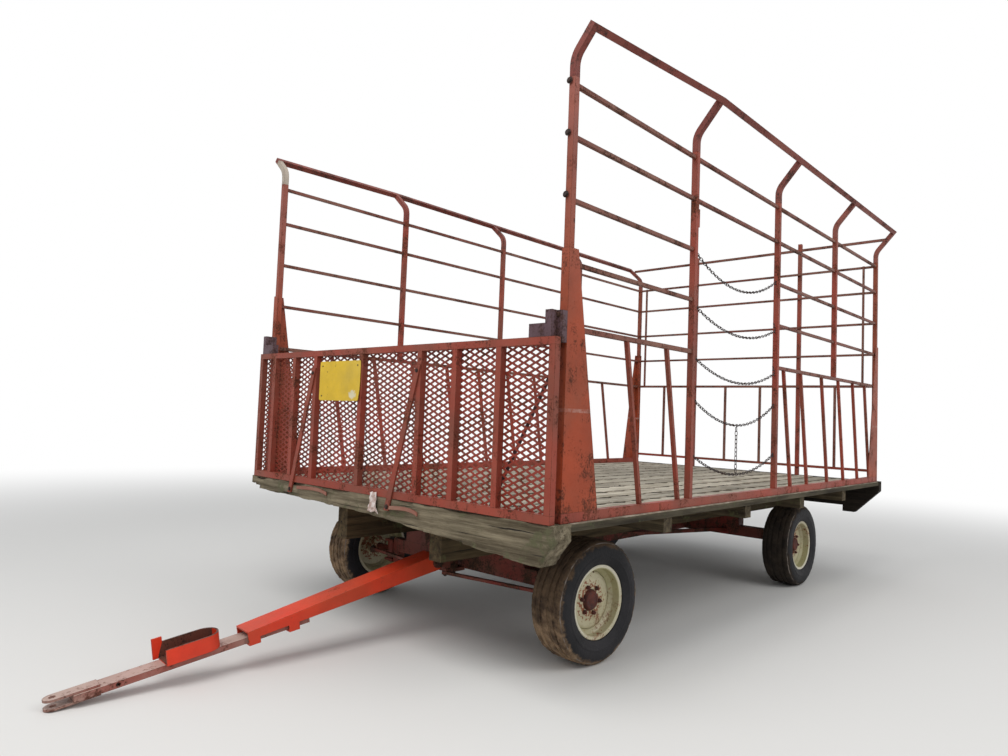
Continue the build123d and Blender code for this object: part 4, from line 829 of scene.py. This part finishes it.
DIAMOND_WIDE = 0.0762
DIAMOND_HIGH = 0.0340
STRAND = 0.0092
low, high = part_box("gate_mesh")
columns = round((high.y - low.y) / DIAMOND_WIDE)
rows = round((high.z - low.z) / DIAMOND_HIGH)
cell_y = (high.y - low.y) / columns
cell_z = (high.z - low.z) / rows
gate_wire = added("gate_wire", bpy.ops.mesh.primitive_circle_add, scale=(cell_z / 2, cell_y / 2, 1.0),
                  vertices=4, radius=1.0, fill_type='NGON', rotation=(0, math.pi / 2, 0))
with editing(gate_wire):
    bpy.ops.mesh.select_mode(type='FACE')
    bpy.ops.mesh.select_all(action='SELECT')
    bpy.ops.mesh.inset(thickness=STRAND / 2)
    bpy.ops.mesh.delete(type='FACE')
for vertex in gate_wire.data.vertices:
    if abs(vertex.co.z) < 0.0001 and abs(vertex.co.y) < cell_y * 0.49:
        vertex.co.y *= 0.84
ring = copied(gate_wire, "ring", [Matrix.Translation((0, cell_y / 2, cell_z / 2))])
for piece, across, up in ((gate_wire, columns, rows), (ring, columns - 1, rows - 1)):
    take_up(piece)
    for count, step in ((across, (0, cell_y, 0)), (up, (0, 0, cell_z))):
        array = piece.modifiers.new("row", 'ARRAY')
        array.count = count
        array.use_relative_offset = False
        array.use_constant_offset = True
        array.constant_offset_displace = step
        bpy.ops.object.modifier_apply(modifier=array.name)
joined("gate_wire", [gate_wire, ring])
with editing(gate_wire):
    bpy.ops.mesh.remove_doubles(threshold=0.0002)
gate_wire.data.transform(Matrix.Translation(((low.x + high.x) / 2, low.y + cell_y / 2, low.z + cell_z / 2)))


def thickened(piece, thickness, offset=-1.0):
    """Gives a thin sheet its thickness."""
    take_up(piece)
    sheet = piece.modifiers.new("sheet", 'SOLIDIFY')
    sheet.thickness = thickness
    sheet.offset = offset
    bpy.ops.object.modifier_apply(modifier=sheet.name)


thickened(gate_wire, 0.0024, 0.0)
# The load has pushed the sheet in low down, left of its middle, and drawn the diamonds there out of line.
for vertex in gate_wire.data.vertices:
    y, z = vertex.co.y, vertex.co.z - low.z
    lean = 0.0007 * math.sin(4 * math.pi * z / cell_z)
    edge = max(0.0, min(1.0, min(y - low.y, high.y - y, z, high.z - low.z - z) / 0.06))
    hollow = math.exp(-((y + 0.35) / 0.50) ** 2 - ((z - 0.24) / 0.22) ** 2) * edge
    vertex.co.x += lean - 0.034 * hollow - 0.0012 * edge * (1 + noise.noise(Vector((0, y * 5, z * 5))))
    vertex.co.y += 0.030 * hollow * noise.noise(Vector((1.0, y * 4.0, z * 6.0)))
    vertex.co.z += 0.022 * hollow * noise.noise(Vector((2.0, y * 5.0, z * 5.0)))
gate_paint = painted_steel("gate_paint", (148, 58, 44), (126, 66, 54), RUST, DARK_RUST, 0.36, 0.2)
finished(gate_wire, gate_paint, "chassis", "rack_paint", "gate_mesh")


# The gate's small parts: the dark latch blocks that hold it on its corner posts, the rod across the corner
# behind the wire, two thin iron strips that lie bent along the header, and a blank yellow plate.

dark_steel = painted_steel("dark_steel", (84, 60, 66), (100, 80, 86), (88, 56, 46), (50, 38, 40), 0.45, 0.5)
dress(dark_steel, "gate_rod", "gate_latches")

gate_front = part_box("gate_rails")[1].x
strips = []
for start_y, start_z, length in ((0.19, -0.052, 0.27), (-0.78, -0.030, 0.36)):
    strip = added_block("strip", (gate_front, start_y, deck_top + start_z - 0.011),
                        (gate_front + 0.005, start_y + length, deck_top + start_z + 0.011))
    sliced(strip, ALONG_Y, [start_y + length * n / 16 for n in range(1, 16)])
    for vertex in strip.data.vertices:
        along = (vertex.co.y - start_y) / length
        vertex.co.z += 0.022 * along - 0.030 * along ** 4
        vertex.co.x += 0.004 + 0.030 * max(0.0, along - 0.55) ** 2 + 0.05 * max(0.0, 0.15 - along) ** 2
    strips.append(strip)
strip_paint = painted_steel("strip_paint", (150, 94, 78), (164, 130, 112), RUST, DARK_RUST, 0.30, 0.6)
finished(joined("bent_strips", strips), strip_paint, "chassis", "rack_paint")

# A torn scrap of pale sheet, caught between the gate's rail and the header.
SCRAP_WIDE = 0.115
SCRAP_HIGH = 0.114
SCRAP_Y = 0.057
scrap_z = deck_top - 0.035
scrap = added("torn_scrap", bpy.ops.mesh.primitive_grid_add, scale=(SCRAP_WIDE, SCRAP_HIGH, 1.0),
              x_subdivisions=14, y_subdivisions=14, size=1.0, rotation=(math.pi / 2, 0, math.pi / 2),
              location=(gate_front + 0.010, SCRAP_Y, scrap_z))
for vertex in scrap.data.vertices:
    across, up = (vertex.co.y - SCRAP_Y) / SCRAP_WIDE, (vertex.co.z - scrap_z) / SCRAP_HIGH
    narrow = 0.62 - 0.30 * up + 0.5 * noise.noise(Vector((4.0, up * 3.0, math.copysign(1.0, across))))
    vertex.co.y = SCRAP_Y + across * SCRAP_WIDE * max(0.25, min(1.0, narrow))
    vertex.co.z += 0.022 * noise.noise(Vector((across * 3.0, up * 2.0, 5.0)))
    vertex.co.x += 0.010 * noise.noise(Vector((across * 3.0, up * 4.0, 9.0)))
thickened(scrap, 0.0008)
bpy.ops.object.shade_smooth()
scrap_sheet, tree = blank_material("scrap_sheet")
place = object_place(tree)
tarnish = noise_of(tree, place, 22.0, 6.0, 0.65, 0.40, 0.62)
coat(tree, mixed(tree, tarnish, seen(224, 214, 208), seen(168, 140, 128)),
     noise_of(tree, place, 50.0, 4.0, 0.6, -0.6, 0.9))
finished(scrap, scrap_sheet, "chassis", "sign_paint")

low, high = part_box("sign_plate")
plate = added_block("blank_plate", low, high)
bevelled(plate, 0.014, 5, lambda middle, way: abs(way.x) > 0.9)
sliced(plate, ALONG_Y, [low.y + (high.y - low.y) * n / 10 for n in range(1, 10)])
sliced(plate, ALONG_Z, [low.z + (high.z - low.z) * n / 6 for n in range(1, 6)])
for vertex in plate.data.vertices:
    across = (vertex.co.y - (low.y + high.y) / 2) / (high.y - low.y)
    up = (vertex.co.z - (low.z + high.z) / 2) / (high.z - low.z)
    vertex.co.x += 0.022 * max(0.0, abs(across) - 0.30) ** 2 + 0.0015 + 0.0012 * noise.noise(vertex.co * 9.0)
    vertex.co.x += 0.030 * max(0.0, 0.8 * across - up - 0.55)
sign_paint = painted_steel("sign_paint", (226, 188, 36), (212, 180, 62), (150, 112, 62), (92, 70, 46),
                           0.06, 0.5, bump=0.0006, gloss=0.4)
# The paint is worn to its pale ground in the lower right corner.
tree = sign_paint.node_tree
place = object_place(tree)
corner = vector_maths(tree, 'SUBTRACT', place, (high.x, high.y - 0.075, low.z + 0.040))
corner = vector_maths(tree, 'LENGTH', vector_maths(tree, 'MULTIPLY', corner, (0.0, 17.0, 24.0)))
worn_off = sum_of(tree, (corner, 1.0), (noise_of(tree, place, 45.0, 6.0, 0.7), 1.1))
worn_off = spread(tree, worn_off, 1.25, 1.05, even=True)
paint = mixed(tree, worn_off, tree.nodes["flaked_paint"].outputs["Color"], seen(208, 198, 164))
tree.links.new(paint, tree.nodes["Principled BSDF"].inputs["Base Color"])
finished(plate, sign_paint, "chassis", "sign_paint", "sign_plate")


# The doorway: five chains of welded links, hooked to eyes on the two door posts, the lower two joined in the
# middle by a short upright one. The steel is bare and brown with rust.

CHAINS = (
    # height on the front post, height on the rear post, lowest point, all above the deck
    (1.534, 1.550, 1.395),
    (1.208, 1.191, 1.088),
    (0.895, 0.876, 0.774),
    (0.641, 0.645, 0.492),
    (0.304, 0.288, 0.168),
)
LINK_PITCH = 0.0270
LINK_BEND = 0.0078
LINK_WIRE = 0.0024
SAG_STEPS = 2000
link = added("link", bpy.ops.mesh.primitive_torus_add, major_radius=LINK_BEND, minor_radius=LINK_WIRE,
             major_segments=12, minor_segments=6)
bpy.ops.object.shade_smooth()
for vertex in link.data.vertices:
    if abs(vertex.co.x) > 0.001:
        vertex.co.x += math.copysign(LINK_PITCH / 2 - LINK_BEND + LINK_WIRE, vertex.co.x)
eye = copied(link, "eye", [Matrix.Diagonal((0.75, 1.5, 1.7, 1.0))])
low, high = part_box("door_chains")
door_y = (low.y + high.y) / 2
draw = random.Random(11)


def hung_chain(front, rear, lowest):
    """The places of a chain's links between the door posts, evenly spaced along its sag."""
    places = []
    sag = (front + rear) / 2 - lowest
    start, stop = high.x - 0.014, low.x + 0.014
    last, travelled = None, LINK_PITCH / 2
    for step in range(SAG_STEPS + 1):
        share = step / SAG_STEPS
        place = Vector((start + (stop - start) * share, door_y,
                        deck_top + front + (rear - front) * share - 4 * share * (1 - share) * sag))
        way = place - (last or place)
        travelled += way.length
        if travelled >= LINK_PITCH:
            travelled -= LINK_PITCH
            slope = math.atan2(way.z, -way.x)
            twist = turned(90 * (len(places) % 2) + 20 + draw.uniform(-14, 14), 'X')
            places.append(Matrix.Translation(place) @ Matrix.Rotation(slope, 4, 'Y') @ twist)
        last = place
    return places


links, eyes = [], []
for front, rear, lowest in CHAINS:
    links += hung_chain(front, rear, lowest)
    for x, height in ((high.x - 0.006, front), (low.x + 0.006, rear)):
        eyes.append(Matrix.Translation((x, door_y, deck_top + height)) @ turned(90, 'X'))
middle_x = (low.x + high.x) / 2
drop_top, drop_foot = deck_top + CHAINS[3][2] - 0.012, deck_top + CHAINS[4][2] + 0.012
count = round((drop_top - drop_foot) / LINK_PITCH)
for number in range(count):
    height = drop_top - (number + 0.5) * (drop_top - drop_foot) / count
    links.append(Matrix.Translation((middle_x, door_y, height)) @ turned(90, 'Y')
                 @ turned(90 * (number % 2) + 30 + draw.uniform(-12, 12), 'X'))
chain_steel = painted_steel("chain_steel", (66, 54, 52), (52, 44, 44), (84, 58, 46), (40, 32, 30), 0.40, 0.2,
                            bump=0.0004)
finished(copied(link, "welded_chains", links), chain_steel, "chassis", "dark_steel", "door_chains")
finished(copied(eye, "chain_eyes", eyes), chain_steel, "chassis", "dark_steel")

# Two open hooks of round bar stand out from the rear door post, where the second and third chain end.
HOOK_LONG = 0.034
HOOK_BEND = 0.014
hook = added("hook", bpy.ops.mesh.primitive_circle_add, vertices=8, radius=0.0035, fill_type='NGON',
             rotation=(0, math.pi / 2, 0))
with editing(hook):
    bpy.ops.mesh.extrude_region_move(TRANSFORM_OT_translate={"value": (HOOK_LONG, 0, 0)})
    bpy.ops.mesh.spin(steps=10, angle=math.radians(200), center=(HOOK_LONG, 0, HOOK_BEND), axis=(0, -1, 0))
    bpy.ops.mesh.select_all(action='SELECT')
    bpy.ops.mesh.normals_make_consistent(inside=False)
bpy.ops.object.shade_smooth_by_angle(angle=math.radians(40))
hooks = copied(hook, "chain_hooks", [Matrix.Translation((low.x, door_y, deck_top + rear + 0.026))
                                     for front, rear, lowest in CHAINS[1:3]])
finished(hooks, chain_steel, "chassis", "dark_steel")
discard(link, eye, hook)


# Bolts and nuts: plain hexagon heads on washers, brown with rust, where the real wagon is bolted together.
# Each size is half a head's width over its corners.

bolt = added("bolt", bpy.ops.mesh.primitive_cylinder_add, vertices=6, radius=1.0, depth=0.62,
             location=(0, 0, 0.45))
bevelled(bolt, 0.12, 2, lambda middle, way: middle.z > 0.7)
washer = added("washer", bpy.ops.mesh.primitive_cylinder_add, vertices=16, radius=1.35, depth=0.16,
               location=(0, 0, 0.08))
joined("bolt", [bolt, washer])
TOWARDS = {"+x": (0, 90), "+y": (-90, 0), "-y": (90, 0), "+z": (0, 0), "-z": (180, 0)}


def bolt_at(place, towards, size, turn, swing=0.0):
    """Where a bolt of a given size goes, its head towards one of these directions, swung round in plan."""
    tip_x, tip_y = TOWARDS[towards]
    return (Matrix.Translation(place) @ turned(swing, 'Z') @ turned(tip_x, 'X') @ turned(tip_y, 'Y')
            @ turned(turn, 'Z') @ Matrix.Diagonal((size, size, size, 1.0)))


def frame_joint(name):
    """Where a joint's pivot lies in the rest pose."""
    return Vector(next(joint["pos_m"] for joint in frame["joints"] if joint["name"] == name))


POST_BOLTS = (2.132, 1.874, 1.570)
LATCH_BOLTS = (0.870, 0.982)
BRACED_BARS = (0.405, -0.645)
SIGN_SCREW_IN = 0.03
KINGPIN_EAR_TOP = 0.427
YOKE_PLATE_TOP = 0.381
HINGE_HALF = 0.099
spots = {"chassis": [], "yoke": [], "knuckle_left": [], "knuckle_right": []}
on_chassis = spots["chassis"]
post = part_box("corner_post_front_left")[1]
for height in POST_BOLTS:
    on_chassis.append(((post.x, post.y - 0.036, deck_top + height), "+x", 0.0125))
for side in (1, -1):
    latch_y = side * (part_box("gate_latches")[1].y - 0.026)
    for height in LATCH_BOLTS:
        on_chassis.append(((gate_front - 0.042, latch_y, deck_top + height), "+x", 0.0105))
brace_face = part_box("gate_braces")[1].x
for bar_y in BRACED_BARS:
    on_chassis.append(((brace_face, bar_y - 0.008, deck_top + 0.728), "+x", 0.009))
    on_chassis.append(((brace_face, bar_y - 0.219, deck_top - 0.048), "+x", 0.011))
low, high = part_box("sign_plate")
for y in (low.y + SIGN_SCREW_IN, high.y - SIGN_SCREW_IN):
    for z in (low.z + SIGN_SCREW_IN, high.z - SIGN_SCREW_IN):
        on_chassis.append(((high.x, y, z), "+x", 0.0055))
low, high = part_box("bolster_stakes")
for x in (low.x + 0.03, high.x - 0.03):
    for side, towards in ((1, "+y"), (-1, "-y")):
        for height in (0.03, 0.09):
            on_chassis.append(((x, side * high.y, low.z + height), towards, 0.012))
# The pivots: kingpins in the axle's ears, the yoke's pin in its bracket, and the tie rods' pins.
axle_low, axle_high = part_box("front_axle")
rod_low, rod_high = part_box("tie_rod_left")
yoke_pin = frame_joint("tongue_steer")
kingpins = {side: frame_joint("knuckle_" + side + "_steer") for side in ("left", "right")}
pins = [(kingpin, KINGPIN_EAR_TOP, axle_low.z, 0.018) for kingpin in kingpins.values()]
for place, top, foot, size in pins + [(yoke_pin, axle_high.z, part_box("steering_yoke")[0].z, 0.019)]:
    on_chassis.append(((place.x, place.y, top), "+z", size))
    on_chassis.append(((place.x, place.y, foot), "-z", size))
for side, kingpin in kingpins.items():
    rod_pin = frame_joint("tie_rod_" + side + "_pivot")
    spots["yoke"].append(((rod_pin.x, rod_pin.y, YOKE_PLATE_TOP), "+z", 0.012))
    spots["yoke"].append(((rod_pin.x, rod_pin.y, rod_low.z - 0.004), "-z", 0.010))
    # The rods and the arms make a parallelogram, so each arm's pin lies off its kingpin as here.
    arm_pin = kingpin + rod_pin - yoke_pin
    spots["knuckle_" + side].append(((arm_pin.x, arm_pin.y, rod_high.z + 0.004), "+z", 0.010))
bolt_steel = painted_steel("bolt_steel", (58, 47, 44), (46, 38, 36), (88, 56, 40), (42, 32, 28), 0.36, 0.4,
                           bump=0.0004)
draw = random.Random(2)
hinge = frame_joint("tongue_lift")
for body, its_spots in spots.items():
    matrices = [bolt_at(place, towards, size, draw.uniform(0, 60)) for place, towards, size in its_spots]
    if body == "yoke":
        matrices += [bolt_at(hinge + aside * HINGE_HALF * side, towards, 0.015, 20.0, -PARKED)
                     for side, towards in ((1, "+y"), (-1, "-y"))]
    finished(copied(bolt, "bolts_of_" + body, matrices), bolt_steel, body, "dark_steel")
discard(bolt)
